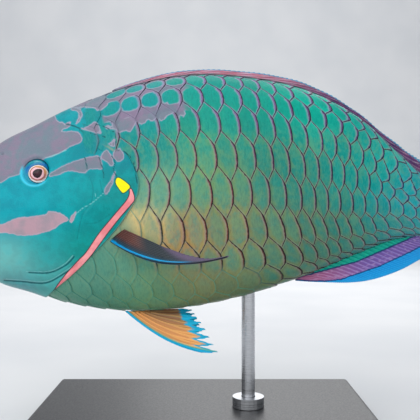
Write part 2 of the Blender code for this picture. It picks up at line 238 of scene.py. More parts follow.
class ParrotfishSizes(bpy.types.PropertyGroup):
    """Sizes of the skin and scales"""
    coat_depth: size_property("Coat depth", "How far the skin lies inside the solids under scales", 0.0015)
    scale_rise: size_property("Scale rise", "How much a scale climbs from its root to its free edge", 0.0014)
    rim_width: size_property("Rim width", "Width of the dark band along a scale's free edge", 0.00105)
    lip_roll: size_property("Lip roll", "How far the lips stand in front of the beak's root", 0.0018)
    orbit_depth: size_property("Orbit groove", "Depth of the groove round the eye", 0.0006)
    cover_step: size_property("Gill cover step", "Thickness of the gill cover's free edge", 0.0011)
    around: IntProperty(name="Skin points around", description="Points round one ring of the skin",
                        default=320, min=64, max=512)


class ParrotfishColours(bpy.types.PropertyGroup):
    """Main colours of the fish"""
    mauve: colour_property("Mauve", "Crown and the bar behind the eye", rgb(116, 128, 142))
    lilac: colour_property("Lilac", "The warmer patches of the crown", rgb(134, 124, 144))
    cheek_pink: colour_property("Cheek pink", "Bar below the eye", rgb(188, 154, 166))
    coral: colour_property("Coral", "Band along the gill cover's edge", rgb(252, 166, 168))
    signal_yellow: colour_property("Signal yellow", "Spot at the gill cover's upper corner", rgb(252, 244, 8))
    dark_line: colour_property("Dark line", "Thin seams between the scales", rgb(20, 30, 34))
    pale_line: colour_property("Pale line", "Thin light lines on the cheek and belly", rgb(128, 205, 205))
    fin_salmon: colour_property("Fin salmon", "Back fin and tail crescent", rgb(208, 140, 158))
    fin_blue: colour_property("Fin blue", "Margins of the fins", rgb(0, 150, 226))
    fin_green: colour_property("Fin green", "Base of the fin behind the vent", rgb(0, 178, 160))
    fin_violet: colour_property("Fin violet", "Middle of the fin behind the vent", rgb(124, 106, 186))
    pelvic_orange: colour_property("Pelvic orange", "Membranes of the pelvic fins", rgb(246, 176, 106))
    pectoral_dark: colour_property("Pectoral dark", "Membranes of the pectoral fins", rgb(24, 36, 44))
    beak_ivory: colour_property("Beak ivory", "Fused teeth", rgb(200, 214, 198))
    iris_salmon: colour_property("Iris salmon", "Rings of the eye", rgb(214, 128, 112))
    # The pupil colour is the painted glow of light inside the pupil.
    pupil: colour_property("Pupil", "Dark middle of the eye", rgb(58, 12, 30))


# Soft washes of ground colour: middle and radius in photo pixels, then the colour.
HEAD_WASHES = (
    ("snout", -30, 190, 40, rgb(10, 150, 165)),
    ("cheek", 25, 200, 34, rgb(0, 160, 176)),
    ("cheek rear", 76, 200, 26, rgb(0, 156, 160)),
    ("cheek low", 45, 248, 18, rgb(46, 158, 154)),
    ("jaw", 5, 264, 22, rgb(140, 214, 202)),
    ("chin", 10, 292, 18, rgb(50, 112, 134)),
    ("throat", 60, 294, 20, rgb(88, 172, 164)),
    ("temple", 96, 140, 26, rgb(0, 138, 148)),
    ("gill cover", 108, 208, 22, rgb(0, 132, 124)),
    ("gill cover low", 82, 246, 16, rgb(4, 142, 126)),
)
BODY_WASHES = (
    ("nape", 130, 104, 24, rgb(0, 148, 158)),
    ("shoulder", 146, 150, 18, rgb(0, 138, 134)),
    ("back", 205, 88, 24, rgb(0, 152, 142)),
    ("upper flank", 200, 122, 22, rgb(24, 156, 128)),
    ("high middle", 255, 116, 26, rgb(30, 152, 132)),
    ("front of flank", 163, 192, 18, rgb(134, 180, 148)),
    ("middle of flank", 212, 180, 28, rgb(106, 156, 112)),
    ("over the pectoral fin", 150, 226, 14, rgb(255, 214, 138)),
    ("tan patch", 186, 238, 20, rgb(200, 132, 80)),
    ("lower flank", 232, 228, 26, rgb(158, 136, 84)),
    ("breast", 108, 270, 24, rgb(106, 160, 136)),
    ("behind the cover", 118, 234, 10, rgb(160, 176, 140)),
    ("belly front", 150, 292, 22, rgb(118, 162, 120)),
    ("belly", 200, 280, 26, rgb(142, 142, 96)),
    ("belly rear", 255, 264, 24, rgb(122, 138, 100)),
    ("middle", 284, 176, 30, rgb(52, 130, 114)),
    ("back rear", 316, 108, 26, rgb(0, 184, 158)),
    ("rear", 345, 165, 30, rgb(20, 152, 144)),
    ("lower rear", 300, 228, 22, rgb(104, 118, 92)),
    ("rear low", 345, 232, 22, rgb(72, 124, 110)),
    ("back of stalk", 384, 160, 20, rgb(10, 190, 176)),
    ("tail stalk", 412, 196, 30, rgb(0, 176, 196)),
    ("tail stalk low", 396, 228, 18, rgb(20, 132, 130)),
    ("tail base", 475, 190, 40, rgb(0, 160, 176)),
)
# The band just inside a scale's free edge, coloured by region in the same way.
RIM_WASHES = (
    ("nape", 140, 110, 28, rgb(128, 116, 146)),
    ("upper back", 235, 100, 34, rgb(128, 98, 148)),
    ("shoulder", 150, 150, 24, rgb(116, 108, 138)),
    ("flank", 205, 170, 34, rgb(118, 62, 70)),
    ("middle", 285, 165, 34, rgb(84, 46, 84)),
    ("rear", 350, 165, 36, rgb(78, 60, 104)),
    ("back rear", 340, 120, 24, rgb(110, 86, 130)),
    ("stalk", 420, 190, 40, rgb(56, 84, 140)),
    ("lower flank", 215, 230, 28, rgb(112, 50, 44)),
    ("lower middle", 285, 235, 28, rgb(76, 40, 42)),
    ("rear low", 350, 235, 28, rgb(74, 54, 60)),
    ("belly", 190, 285, 32, rgb(84, 104, 82)),
    ("breast", 115, 270, 30, rgb(96, 140, 120)),
)


# How a wash's strength falls with distance: a round core, and a faint tail that fills the gaps.
WASH_CORE = 1.6
WASH_TAIL = 0.02
WASH_TAIL_FALL = 4


def wash(x, y, washes):
    """Ground colour at photo pixels: the washes blend by how near their middles are."""
    total = np.zeros(np.shape(x))
    colour = np.zeros((*np.shape(x), 3))
    for _, cx, cy, radius, tint in washes:
        near = ((x - cx) ** 2 + (y - cy) ** 2) / radius**2
        weight = np.exp(-near / WASH_CORE) + WASH_TAIL / (1 + near) ** WASH_TAIL_FALL
        total += weight
        colour += weight[..., None] * np.array(tint)
    return colour / total[..., None]


# Outlines of the head's markings in photo pixels, left flank. The crown's runs over the back of the
# head and past the photo's left edge.
CROWN = (
    (-110, 196), (-60, 194), (-25, 188), (0, 183), (10, 177.5), (19, 175), (24, 171), (36, 163),
    (46, 158.5), (57, 154.5), (65, 150.5), (71, 146.5), (80, 143), (82, 138), (79, 132.5), (72, 131),
    (62, 131), (66, 127), (63, 122), (58, 121), (55, 114), (58, 100), (20, 100), (-110, 130),
)
MAUVE_PATCHES = (
    ((66, 123), (71, 122), (69, 127), (63, 129)),
    ((72, 107), (80, 109), (82.5, 115), (79, 122), (75.5, 124.5), (78.5, 116), (77, 111.5), (71, 110)),
    ((71, 108), (84, 100), (97, 90), (107, 84), (106, 97), (108, 104), (98, 111), (94, 108), (84, 107.5)),
    ((80.5, 128.3), (88, 126), (94, 121.5), (98, 124), (100.5, 133.8), (90, 131.5)),
    ((104, 126), (108, 124.5), (112, 126), (113, 118), (126, 117), (133, 113.5), (141, 111), (146, 106),
     (152, 108), (160, 108), (166, 101), (170, 104), (176, 103), (183, 108), (186, 112), (183, 117),
     (176, 112.5), (172, 113.5), (166, 117), (163, 122), (158, 117.5), (152, 121.5), (148, 119.5),
     (143, 124.5), (138, 121.5), (134, 126), (130, 132), (125, 130), (119, 133), (115, 129.5), (107, 129)),
    ((50, 173.5), (67, 163.8), (84.4, 157.8), (92, 156.4), (99.5, 156.2), (102.5, 168.5), (95, 169),
     (88, 170), (85, 173.4), (76, 171.8), (67, 171.8), (57, 175.5), (50.5, 176.8)),
    ((101, 158), (103, 151.5), (107, 149), (109, 152), (111.5, 155.5), (114, 164), (111, 166.5), (107, 162)),
    ((112.6, 155), (114, 150.5), (118.5, 147), (121, 149), (124, 154), (123, 159.5), (117, 162)),
    ((106.5, 145), (111, 141.5), (114.2, 137), (115, 146)),
    ((104.3, 193.5), (105, 188), (110, 181), (114.5, 171), (115.6, 172), (112.5, 185), (107, 194.5)),
)
CHEEK_BAR = (
    (-80, 232), (-40, 226), (0, 224), (8, 221.8), (18, 217.8), (34, 216.2), (46, 214.3), (49, 211),
    (57, 212), (65, 215.7), (68.6, 220), (61, 223.6), (55, 228.5), (46, 232), (34, 235), (20, 235.6),
    (10, 233.6), (0, 233), (-40, 236), (-80, 240),
)
CHEEK_HOOK = ((69.5, 220.5), (72, 215), (75.8, 211), (76.2, 213), (74.5, 218), (71.5, 222.5))
CORAL_BAND = (
    (129.8, 188.8), (129.8, 194), (127, 200.4), (119, 210), (111.8, 218.5), (98.8, 234.3), (86.8, 252),
    (78.2, 261), (63.6, 277.4), (54.5, 290), (46.5, 304), (48.8, 305.6), (57.4, 292.6), (69, 280),
    (84, 263.2), (92, 253.8), (106.6, 234), (118.8, 218.4), (130.4, 205), (134.2, 199.6), (133.2, 193.5),
    (131.2, 189),
)
YELLOW_SPOT = (
    (116.3, 184), (116.2, 179.4), (118.4, 177.8), (122.5, 180), (126.5, 183), (130, 186.8), (128, 189.5),
    (124, 192.6), (121.8, 191.8),
)
# Thin seams of the head: dark ones between its plates, of which the last two are painted shadow under the
# chin's folds, pale ones, of which the last two are the folds' pale lines, and faint ones, of which the first
# is the fold in front of the gill cover.
DARK_SEAMS_AND_FOLD_SHADOWS = (
    ((80, 130.5), (90, 133), (105, 137)),
    ((112, 131), (115.5, 134), (116, 146), (118.5, 151)),
    ((121, 149), (127, 154), (133, 160.5), (135.6, 173), (137.5, 184)),
    ((84.8, 157.5), (87.5, 169.5)),
    ((99, 156.8), (102.7, 169.3), (104, 178)),
    ((111.6, 155.9), (115.2, 162), (113.5, 170), (117, 176.5)),
    ((66, 124), (74, 126), (80, 128.5)),
    ((96, 124), (105, 126.5), (112, 131)),
    ((107, 114), (112, 121)),
    # The last two: painted shadow just under the chin's folds.
    ((28.6, 273), (49, 273), (65.3, 265.7), (74, 257)),
    ((4, 281), (20.4, 282), (46, 283), (65.3, 273), (76.5, 265.7)),
)
PALE_SEAMS = (
    ((75, 215), (83, 208), (92, 203), (104, 193)),
    ((95, 192.5), (95.6, 196)),
    ((47, 158), (57, 154), (66, 150)),
    ((26, 271.6), (49, 271.4), (64.4, 264), (73, 255.4)),
    ((6, 279.4), (20.4, 280.4), (46, 281.2), (64.4, 271.4), (75.4, 264)),
)
FAINT_SEAMS = (
    ((89, 176), (93, 187), (93, 195), (91, 203), (84, 212), (80, 224), (77, 240)),
    ((86, 224), (98, 222), (110, 214)),
    ((100, 180), (103, 192), (112, 198)),
)


def smooth_outline(points, closed=True, steps=6):
    """A smooth line through a few points (Catmull-Rom)."""
    p = np.array(points, float)
    ring = np.vstack([p[-1:], p, p[:2]]) if closed else np.vstack([p[:1], p, p[-1:]])
    line = []
    for i in range(len(ring) - 3):
        a, b, c, d = ring[i:i + 4]
        for k in range(steps):
            t = k / steps
            line.append(0.5 * (2 * b + (c - a) * t + (2 * a - 5 * b + 4 * c - d) * t * t
                               + (3 * b - 3 * c + d - a) * t**3))
    if not closed:
        line.append(p[-1])
    return np.array(line)


# Distances are measured no further than this, in the unit of the points.
FAR = 12.0


def distance_to_line(x, y, line):
    """Distance from points to a polyline, capped at FAR."""
    found = np.full(x.shape, FAR)
    low = line.min(0) - FAR
    high = line.max(0) + FAR
    near = (x > low[0]) & (x < high[0]) & (y > low[1]) & (y < high[1])
    px = x[near]
    py = y[near]
    best = np.full(px.shape, FAR)
    for (ax, ay), (bx, by) in zip(line[:-1], line[1:]):
        dx = bx - ax
        dy = by - ay
        t = np.clip(((px - ax) * dx + (py - ay) * dy) / (dx * dx + dy * dy + 1e-12), 0, 1)
        best = np.minimum(best, np.hypot(px - ax - t * dx, py - ay - t * dy))
    found[near] = best
    return found


def depth_inside(x, y, outline):
    """Distance to a closed outline, above 0 inside it and below 0 outside, capped at FAR."""
    line = smooth_outline(outline)
    ring = np.vstack([line, line[:1]])
    found = distance_to_line(x, y, ring)
    low = line.min(0)
    high = line.max(0)
    near = (x > low[0]) & (x < high[0]) & (y > low[1]) & (y < high[1])
    px = x[near]
    py = y[near]
    inside = np.zeros(px.shape, bool)
    for (ax, ay), (bx, by) in zip(ring[:-1], ring[1:]):
        if ay == by:
            continue
        crosses = ((ay > py) != (by > py)) & (px < (bx - ax) * (py - ay) / (by - ay) + ax)
        inside ^= crosses
    result = -found
    result[near] = np.where(inside, found[near], -found[near])
    return result


def seams(x, y, lines):
    """Distance to the nearest of several smooth lines."""
    found = np.full(x.shape, FAR)
    for line in lines:
        found = np.minimum(found, distance_to_line(x, y, smooth_outline(line, closed=False)))
    return found


def markings(x, y):
    """Every marking's depth at photo pixels, for the skin and the scales alike."""
    mauve = depth_inside(x, y, CROWN)
    for patch in MAUVE_PATCHES:
        mauve = np.maximum(mauve, depth_inside(x, y, patch))
    cheek = np.maximum(depth_inside(x, y, CHEEK_BAR), depth_inside(x, y, CHEEK_HOOK))
    return {
        "mauve": mauve,
        "cheek": cheek,
        "coral": depth_inside(x, y, CORAL_BAND),
        "spot": depth_inside(x, y, YELLOW_SPOT),
        "dark_seam_and_fold_shadow": seams(x, y, DARK_SEAMS_AND_FOLD_SHADOWS),
        "pale_seam": seams(x, y, PALE_SEAMS),
        "faint_seam": seams(x, y, FAINT_SEAMS),
    }


def make_mesh(name, points, faces, attributes=None, uv=None, sharp=None):
    """An object from points and faces of three or four corners, with float or colour attributes."""
    mesh = bpy.data.meshes.new(name)
    mesh.from_pydata(np.asarray(points, float).tolist(), [], faces)
    mesh.validate()
    for key, values in (attributes or {}).items():
        values = np.asarray(values, np.float32)
        if values.ndim == 1:
            layer = mesh.attributes.new(key, "FLOAT", "POINT")
            layer.data.foreach_set("value", values)
        else:
            layer = mesh.attributes.new(key, "FLOAT_COLOR", "POINT")
            full = np.ones((len(values), 4), np.float32)
            full[:, :3] = values
            layer.data.foreach_set("color", full.ravel())
    if uv is not None:
        corners = np.zeros(len(mesh.loops), np.int32)
        mesh.loops.foreach_get("vertex_index", corners)
        layer = mesh.uv_layers.new(name="OFBake")
        layer.data.foreach_set("uv", np.asarray(uv, np.float32)[corners].ravel())
    mesh.shade_smooth()
    if sharp is not None:
        mesh.set_sharp_from_angle(angle=radians(sharp))
    ob = bpy.data.objects.new(name, mesh)
    bpy.context.scene.collection.objects.link(ob)
    return ob


def grid_faces(rows, columns, wrap=False, flip=False, start=0):
    """Faces of a grid of points, row by row; wrap joins the last column to the first."""
    across = columns if wrap else columns - 1
    i = np.arange(rows - 1)[:, None]
    j = np.arange(across)[None, :]
    k = (j + 1) % columns
    quads = np.stack([i * columns + j, i * columns + k, (i + 1) * columns + k, (i + 1) * columns + j], -1)
    quads = quads.reshape(-1, 4) + start
    return (quads[:, ::-1] if flip else quads).tolist()


class Finish:
    """Short ways to add and join the nodes of one material."""

    def __init__(self, name, roughness, **constants):
        self.material = bpy.data.materials.new(name)
        self.material.use_nodes = True
        self.tree = self.material.node_tree
        self.shader = self.tree.nodes["Principled BSDF"]
        self.shader.inputs["Roughness"].default_value = roughness
        for key, value in constants.items():
            self.shader.inputs[key.replace("_", " ")].default_value = value

    def add(self, kind, **settings):
        """A new node with its settings."""
        node = self.tree.nodes.new(kind)
        for key, value in settings.items():
            setattr(node, key, value)
        return node

    def feed(self, socket, value):
        """Joins another node's output to a socket, or sets the socket to a number or a colour."""
        if isinstance(value, bpy.types.NodeSocket):
            self.tree.links.new(value, socket)
        elif socket.type == "RGBA":
            socket.default_value = (*value, 1.0)
        else:
            socket.default_value = value

    def attribute(self, name, output="Fac"):
        """A value that the mesh carries at its points."""
        return self.add("ShaderNodeAttribute", attribute_name=name).outputs[output]

    def place(self):
        """The point's place on the model, in metres."""
        return self.add("ShaderNodeTexCoord").outputs["Object"]

    def math(self, operation, a, b=0.0, clamp=False):
        node = self.add("ShaderNodeMath", operation=operation, use_clamp=clamp)
        self.feed(node.inputs[0], a)
        self.feed(node.inputs[1], b)
        return node.outputs[0]

    def times(self, a, b):
        return self.math("MULTIPLY", a, b)

    def plus(self, a, b):
        return self.math("ADD", a, b)

    def minus(self, a, b, clamp=False):
        return self.math("SUBTRACT", a, b, clamp)

    def scaled(self, vector, factors):
        """A place stretched along each axis."""
        node = self.add("ShaderNodeVectorMath", operation="MULTIPLY")
        self.feed(node.inputs[0], vector)
        node.inputs[1].default_value = factors
        return node.outputs[0]

    def mix(self, share, a, b):
        """Colour a where share is 0, and b where it is 1."""
        node = self.add("ShaderNodeMix", data_type="RGBA", clamp_factor=True)
        self.feed(node.inputs[0], share)
        self.feed(node.inputs[6], a)
        self.feed(node.inputs[7], b)
        return node.outputs[2]

    def noise(self, vector, scale, detail=3.0, roughness=0.5):
        """Soft clouds from 0 to 1; scale counts them in a metre."""
        node = self.add("ShaderNodeTexNoise")
        self.feed(node.inputs["Vector"], vector)
        node.inputs["Scale"].default_value = scale
        node.inputs["Detail"].default_value = detail
        node.inputs["Roughness"].default_value = roughness
        return node.outputs[0]

    def wander(self, scale, amount, detail=3.0, roughness=0.5):
        """Noise about 0 that moves an edge back and forth by half the amount."""
        return self.times(self.minus(self.noise(self.place(), scale, detail, roughness), 0.5), amount)

    def cells(self, vector, scale):
        """Distance from the nearest of many scattered points."""
        node = self.add("ShaderNodeTexVoronoi")
        self.feed(node.inputs["Vector"], vector)
        node.inputs["Scale"].default_value = scale
        return node.outputs["Distance"]

    def rise(self, value, low, high, start=0.0, end=1.0):
        """A smooth step from start to end as value goes from low to high."""
        node = self.add("ShaderNodeMapRange", interpolation_type="SMOOTHSTEP")
        for socket, given in zip(node.inputs, (value, low, high, start, end)):
            self.feed(socket, given)
        return node.outputs[0]

    def ramp(self, value, stops):
        """A row of colours, each at its place from 0 to 1."""
        node = self.add("ShaderNodeValToRGB")
        ramp = node.color_ramp
        while len(ramp.elements) < len(stops):
            ramp.elements.new(1.0)
        for element, (place, colour) in zip(ramp.elements, stops):
            element.position = place
            element.color = (*colour, 1.0)
        self.feed(node.inputs[0], value)
        return node.outputs[0]

    def bump(self, height, distance, strength):
        """Fine relief that is too small for the mesh."""
        node = self.add("ShaderNodeBump")
        node.inputs["Strength"].default_value = strength
        node.inputs["Distance"].default_value = distance
        self.feed(node.inputs["Height"], height)
        self.feed(self.shader.inputs["Normal"], node.outputs[0])

    def grain(self):
        """The fine grain of a fin's membranes."""
        self.bump(self.noise(self.place(), 700, 3), 0.0002, 0.5)

    def colour(self, value):
        self.feed(self.shader.inputs["Base Color"], value)

    def roughness(self, value):
        self.feed(self.shader.inputs["Roughness"], value)


def finished(ob, material, nodes=()):
    """Gives a piece its material, hangs it under the root body and hides the solids it replaces."""
    ob.data.materials.clear()
    ob.data.materials.append(material)
    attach(ob, "root")
    if nodes:
        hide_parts(*nodes)
    return ob


def sizes():
    """The sizes as they stand in the sidebar."""
    return bpy.context.scene.parrotfish_sizes


def colours():
    """The colours as they stand in the sidebar."""
    return bpy.context.scene.parrotfish_colours


def eye_frame(side):
    """Middle of one eyeball and its outward, forward and upward directions. side is 1 on the left."""
    middle = (back(EYE_S) + belly(EYE_S)) / 2
    half = (back(EYE_S) - belly(EYE_S)) / 2
    angle = float(np.arccos((EYE_HEIGHT - middle) / half)) * side
    outer = on_body(EYE_S, angle)
    normal = body_normal(np.array(EYE_S), np.array(angle))
    along = unit(on_body(EYE_S + 0.01, angle) - on_body(EYE_S - 0.01, angle))
    outward = unit(normal - along * np.dot(normal, along))
    upward = unit(np.cross(outward, along)) * -side
    if upward[2] < 0:
        upward = -upward
    return outer - outward * EYE_SINK, outward, -along, upward


# The lips meet the head at LIP_S, in front of a shallow fold. On the nape the scales begin at NAPE_S,
# and the head's colours give way to the body's over NAPE_BLEND.
LIP_S = 0.0215
LIP_FOLD_S = 0.031
# Width and height of the lips' inner edge, as shares of the beak's.
LIP_WIDE = 0.78
LIP_TALL = 0.62
NAPE_S = 0.222
NAPE_BLEND = (0.24, 0.30)
COVER_RISE = 0.0005

# Forms of the head in photo pixels: middles of the swells, the crease at the mouth's corner, and the
# nostrils with their radii.
CHEEK_SWELL = (30, 205)
COVER_SWELL = (108, 200)
PLATE_SWELL = (84, 205)
MOUTH_CREASE = ((-62, 222), (-50, 232), (-42, 246))
NOSTRILS = ((-6, 160, 1.15), (2, 154, 0.85))
# Photo pixels that give the skin's two end points their colours, in the throat and at the tail.
THROAT_PIXEL = (-60.0, 225.0)
TAIL_PIXEL = (500.0, 200.0)


def ring_angles(count):
    """Angles once round the body, evenly spaced along a ring that is taller than it is wide."""
    fine = np.linspace(0, tau, 2001)
    middle = (fine[1:] + fine[:-1]) / 2
    lengths = np.hypot(np.cos(middle), 1.9 * np.sin(middle))
    travelled = np.concatenate([[0], np.cumsum(lengths)])
    return np.interp(np.arange(count) / count * travelled[-1], travelled, fine)


def coat_front(degrees):
    """Place where the scales of the coat begin: on the nape, and behind the gill cover."""
    opening = ease(degrees, 62, 72)
    return NAPE_S + (gill_edge(degrees) - NAPE_S) * opening, opening


def coat_inset(s, degrees, depth):
    """How far the skin lies inside the solids for the scales to lie over it."""
    front, opening = coat_front(degrees)
    gill = gill_edge(degrees)
    nape = ease(s, front, front + 0.07) * (1 - opening)
    behind = np.where(s > gill, opening, 0.0)
    return depth * np.clip(nape + behind, 0, 1)


def head_relief(s, angle):
    """Folds, grooves and bulges of the head, as a height over the body's surface."""
    x, y = side_map(s, angle)
    relief = 0.0011 * hump(np.hypot((x - CHEEK_SWELL[0]) / 1.3, y - CHEEK_SWELL[1]), 22)
    relief += 0.0007 * hump(np.hypot(x - COVER_SWELL[0], (y - COVER_SWELL[1]) / 1.8), 14)
    plate = np.hypot(x - PLATE_SWELL[0], (y - PLATE_SWELL[1]) / 3.2)
    relief += -0.00022 * hump(seams(x, y, FAINT_SEAMS[:1]), 1.4) + 0.00030 * hump(plate - 3, 5.0)
    relief -= 0.00055 * hump(seams(x, y, DARK_SEAMS_AND_FOLD_SHADOWS[-2:]), 1.3)
    relief -= 0.00012 * hump(seams(x, y, DARK_SEAMS_AND_FOLD_SHADOWS[:-2] + PALE_SEAMS), 1.0)
    relief -= 0.00008 * hump(seams(x, y, FAINT_SEAMS), 1.2)
    relief -= 0.0009 * hump(seams(x, y, (MOUTH_CREASE,)), 2.2)
    relief -= 0.0006 * hump((s - LIP_FOLD_S) * SL / MM, 1.6)
    for px, py, radius in NOSTRILS:
        reach = np.hypot(x - px, y - py) * 0.62
        relief += -0.0012 * hump(reach, radius * 0.8) + 0.00025 * hump(reach - radius * 1.5, 0.6)
    return relief


def orbit(points, normals):
    """Fits the skin round each eye; gives the points, their distance from the eye in mm, and 1 below it
    and in front, to -1 above it and behind."""
    nearest = np.full(points.shape[:-1], FAR * 2)
    low = np.zeros(points.shape[:-1])
    for side in (1, -1):
        middle, outward, forward, upward = eye_frame(side)
        away = points - middle
        deep = away @ outward
        radial = np.sqrt(np.maximum((away**2).sum(-1) - deep**2, 0))
        here = (deep > -0.012) & (radial < 0.016)
        r = radial / MM
        edge = EYE_RADIUS / MM
        move = -sizes().orbit_depth * hump(r - edge + 0.1, 0.6) + 0.00045 * hump(r - edge - 1.5, 1.1)
        move -= 0.0030 * (1 - ease(r, edge - 1.8, edge - 0.5))
        points = points + np.where(here, move, 0.0)[..., None] * normals
        nearest = np.where(here, np.minimum(nearest, r), nearest)
        low = np.where(here, (away @ forward - away @ upward) / np.maximum(radial, 1e-6), low)
    return points, nearest, low


def lip_rows(angles, steps=9):
    """The lips: the skin rolls forward from the snout and in to the beak's root."""
    outer = on_body(np.full(angles.shape, LIP_S), angles)
    root = SNOUT_S + 0.0012 / SL
    inner = at(root, LIP_WIDE * BEAK_HALF_WIDTH * np.sin(angles),
               MOUTH_HEIGHT * SL + (LIP_TALL * BEAK_HALF_HEIGHT + MOUTH_OPENING / 2) * np.cos(angles))
    fullness = 0.45 + 0.55 * np.abs(np.cos(angles)) ** 0.8
    forward = np.array([-cos(HEAD_YAW), -sin(HEAD_YAW), 0.0])
    rows = []
    for i in range(steps):
        turn = pi * (i + 1) / (steps + 1)
        blend = (1 - cos(turn)) / 2
        reach = sizes().lip_roll * 2.1 * sin(turn) ** 0.8 * fullness
        rows.append(outer + (inner - outer) * blend + forward * reach[:, None])
    rows.append(inner)
    rows.append(inner + (at(root, 0.0, MOUTH_HEIGHT * SL) - inner) * 0.12 - forward * 0.002)
    return rows[::-1]


# Rings of points before and behind the gill covers' edges. Between them the skin turns under the edge:
# each step has its shift along the body in metres, and its share of the way down to the skin behind.
HEAD_ROWS = 150
BODY_ROWS = 96
UNDER_EDGE = ((0.0004, 0.35), (-0.0004, 0.8), (-0.0024, 0.9), (-0.0026, 1.25), (0.0002, 1.3))


def skin_rings(angles, degrees, opening):
    """Place along the axis and height over the body's surface of every point of the skin, ring by ring."""
    gill = gill_edge(degrees)
    depth = sizes().coat_depth
    places = []
    lifts = []
    for i in range(HEAD_ROWS + 1):
        s = LIP_S + (gill - LIP_S) * (i / HEAD_ROWS) ** 1.08
        rise = COVER_RISE * opening * ease(s, gill - 0.05, gill)
        places.append(s)
        lifts.append(rise + head_relief(s, angles) - coat_inset(s, degrees, depth) * (s <= gill))
    edge = lifts[-1]
    under = -depth * 0.6 - sizes().cover_step * 0.5
    for shift, share in UNDER_EDGE:
        nudge = 0.00012 * (len(places) - HEAD_ROWS)
        places.append(gill + (shift * opening + nudge * (1 - opening)) / SL)
        lifts.append(edge + opening * (under - edge) * share)
    start = gill + (0.0008 + 0.0006 * (1 - opening)) / SL
    for i in range(BODY_ROWS):
        s = start + (STALK_TIP_S - 0.001 - start) * i / (BODY_ROWS - 1)
        groove = 0.0005 * opening * hump((s - gill) * SL / MM, 4.0)
        thin = 1 - ease(s, 0.97, 1.01)
        places.append(s)
        lifts.append(-coat_inset(s, degrees, depth) * thin - groove - 0.0002 * thin)
    return np.array(places), np.array(lifts)


def skin_faces(rows, count):
    """Faces of the rings of the skin, closed in the throat and inside the tail's root."""
    faces = grid_faces(rows, count, wrap=True, start=1)
    last = 1 + rows * count
    faces += [[0, 1 + (j + 1) % count, 1 + j] for j in range(count)]
    faces += [[last, last - count + j, last - count + (j + 1) % count] for j in range(count)]
    return faces


def build_skin():
    """One skin from the lips to the tail fin, with the gill covers' free edges standing over it."""
    angles = ring_angles(sizes().around)
    count = len(angles)
    degrees = folded_degrees(angles)
    gill = gill_edge(degrees)
    _, opening = coat_front(degrees)
    s, lifts = skin_rings(angles, degrees, opening)
    angle = np.broadcast_to(angles, s.shape)
    normals = body_normal(s, angle)
    points = on_body(s, angle) + normals * lifts[..., None]
    points, from_eye, eye_low = orbit(points, normals)
    mouth = np.array(lip_rows(angles))
    throat = at(SNOUT_S + 0.010 / SL, 0.0, MOUTH_HEIGHT * SL)
    tail_centre = at(STALK_TIP_S, 0.0, (back(1.0) + belly(1.0)) / 2 * SL)
    all_points = np.vstack([throat[None], mouth.reshape(-1, 3), points.reshape(-1, 3), tail_centre[None]])
    rows = len(mouth) + len(s)

    # Every value goes point by point: the throat, the lips from the inside out, the body, the tail's root.
    lips = len(mouth) * count
    x, y = side_map(s, angle)
    mouth_x, mouth_y = photo_pixel(mouth.reshape(-1, 3))
    x_all = np.concatenate([[THROAT_PIXEL[0]], mouth_x, x.ravel(), [TAIL_PIXEL[0]]])
    y_all = np.concatenate([[THROAT_PIXEL[1]], mouth_y, y.ravel(), [TAIL_PIXEL[1]]])
    head = 1 - ease(s, gill - 0.002, gill + 0.002) * opening - ease(s, *NAPE_BLEND) * (1 - opening)
    head = np.concatenate([np.ones(1 + lips), head.ravel(), [0.0]])[:, None]
    inside_mouth = np.zeros(len(all_points))
    inside_mouth[:1 + 2 * count] = 1.0
    attributes = {
        "tint": wash(x_all, y_all, HEAD_WASHES) * head + wash(x_all, y_all, BODY_WASHES) * (1 - head),
        "mouth": inside_mouth,
        "from_eye": np.concatenate([np.full(1 + lips, FAR * 2), from_eye.ravel(), [FAR * 2]]),
        "eye_low": np.concatenate([np.zeros(1 + lips), eye_low.ravel(), [0.0]]),
        "cover": np.concatenate([np.ones(1 + lips), (s <= gill + 1e-9).astype(float).ravel(), [0.0]]),
        **markings(x_all, y_all),
    }
    u = np.concatenate([[0.0], np.repeat(np.linspace(0.002, 0.03, len(mouth)), count),
                        (0.04 + 0.95 * (s - s.min()) / (s.max() - s.min())).ravel(), [1.0]])
    v = np.concatenate([[0.5], np.tile(np.arange(count) / count, rows), [0.5]])
    return make_mesh("skin", all_points, skin_faces(rows, count), attributes, np.stack([u, v], -1))


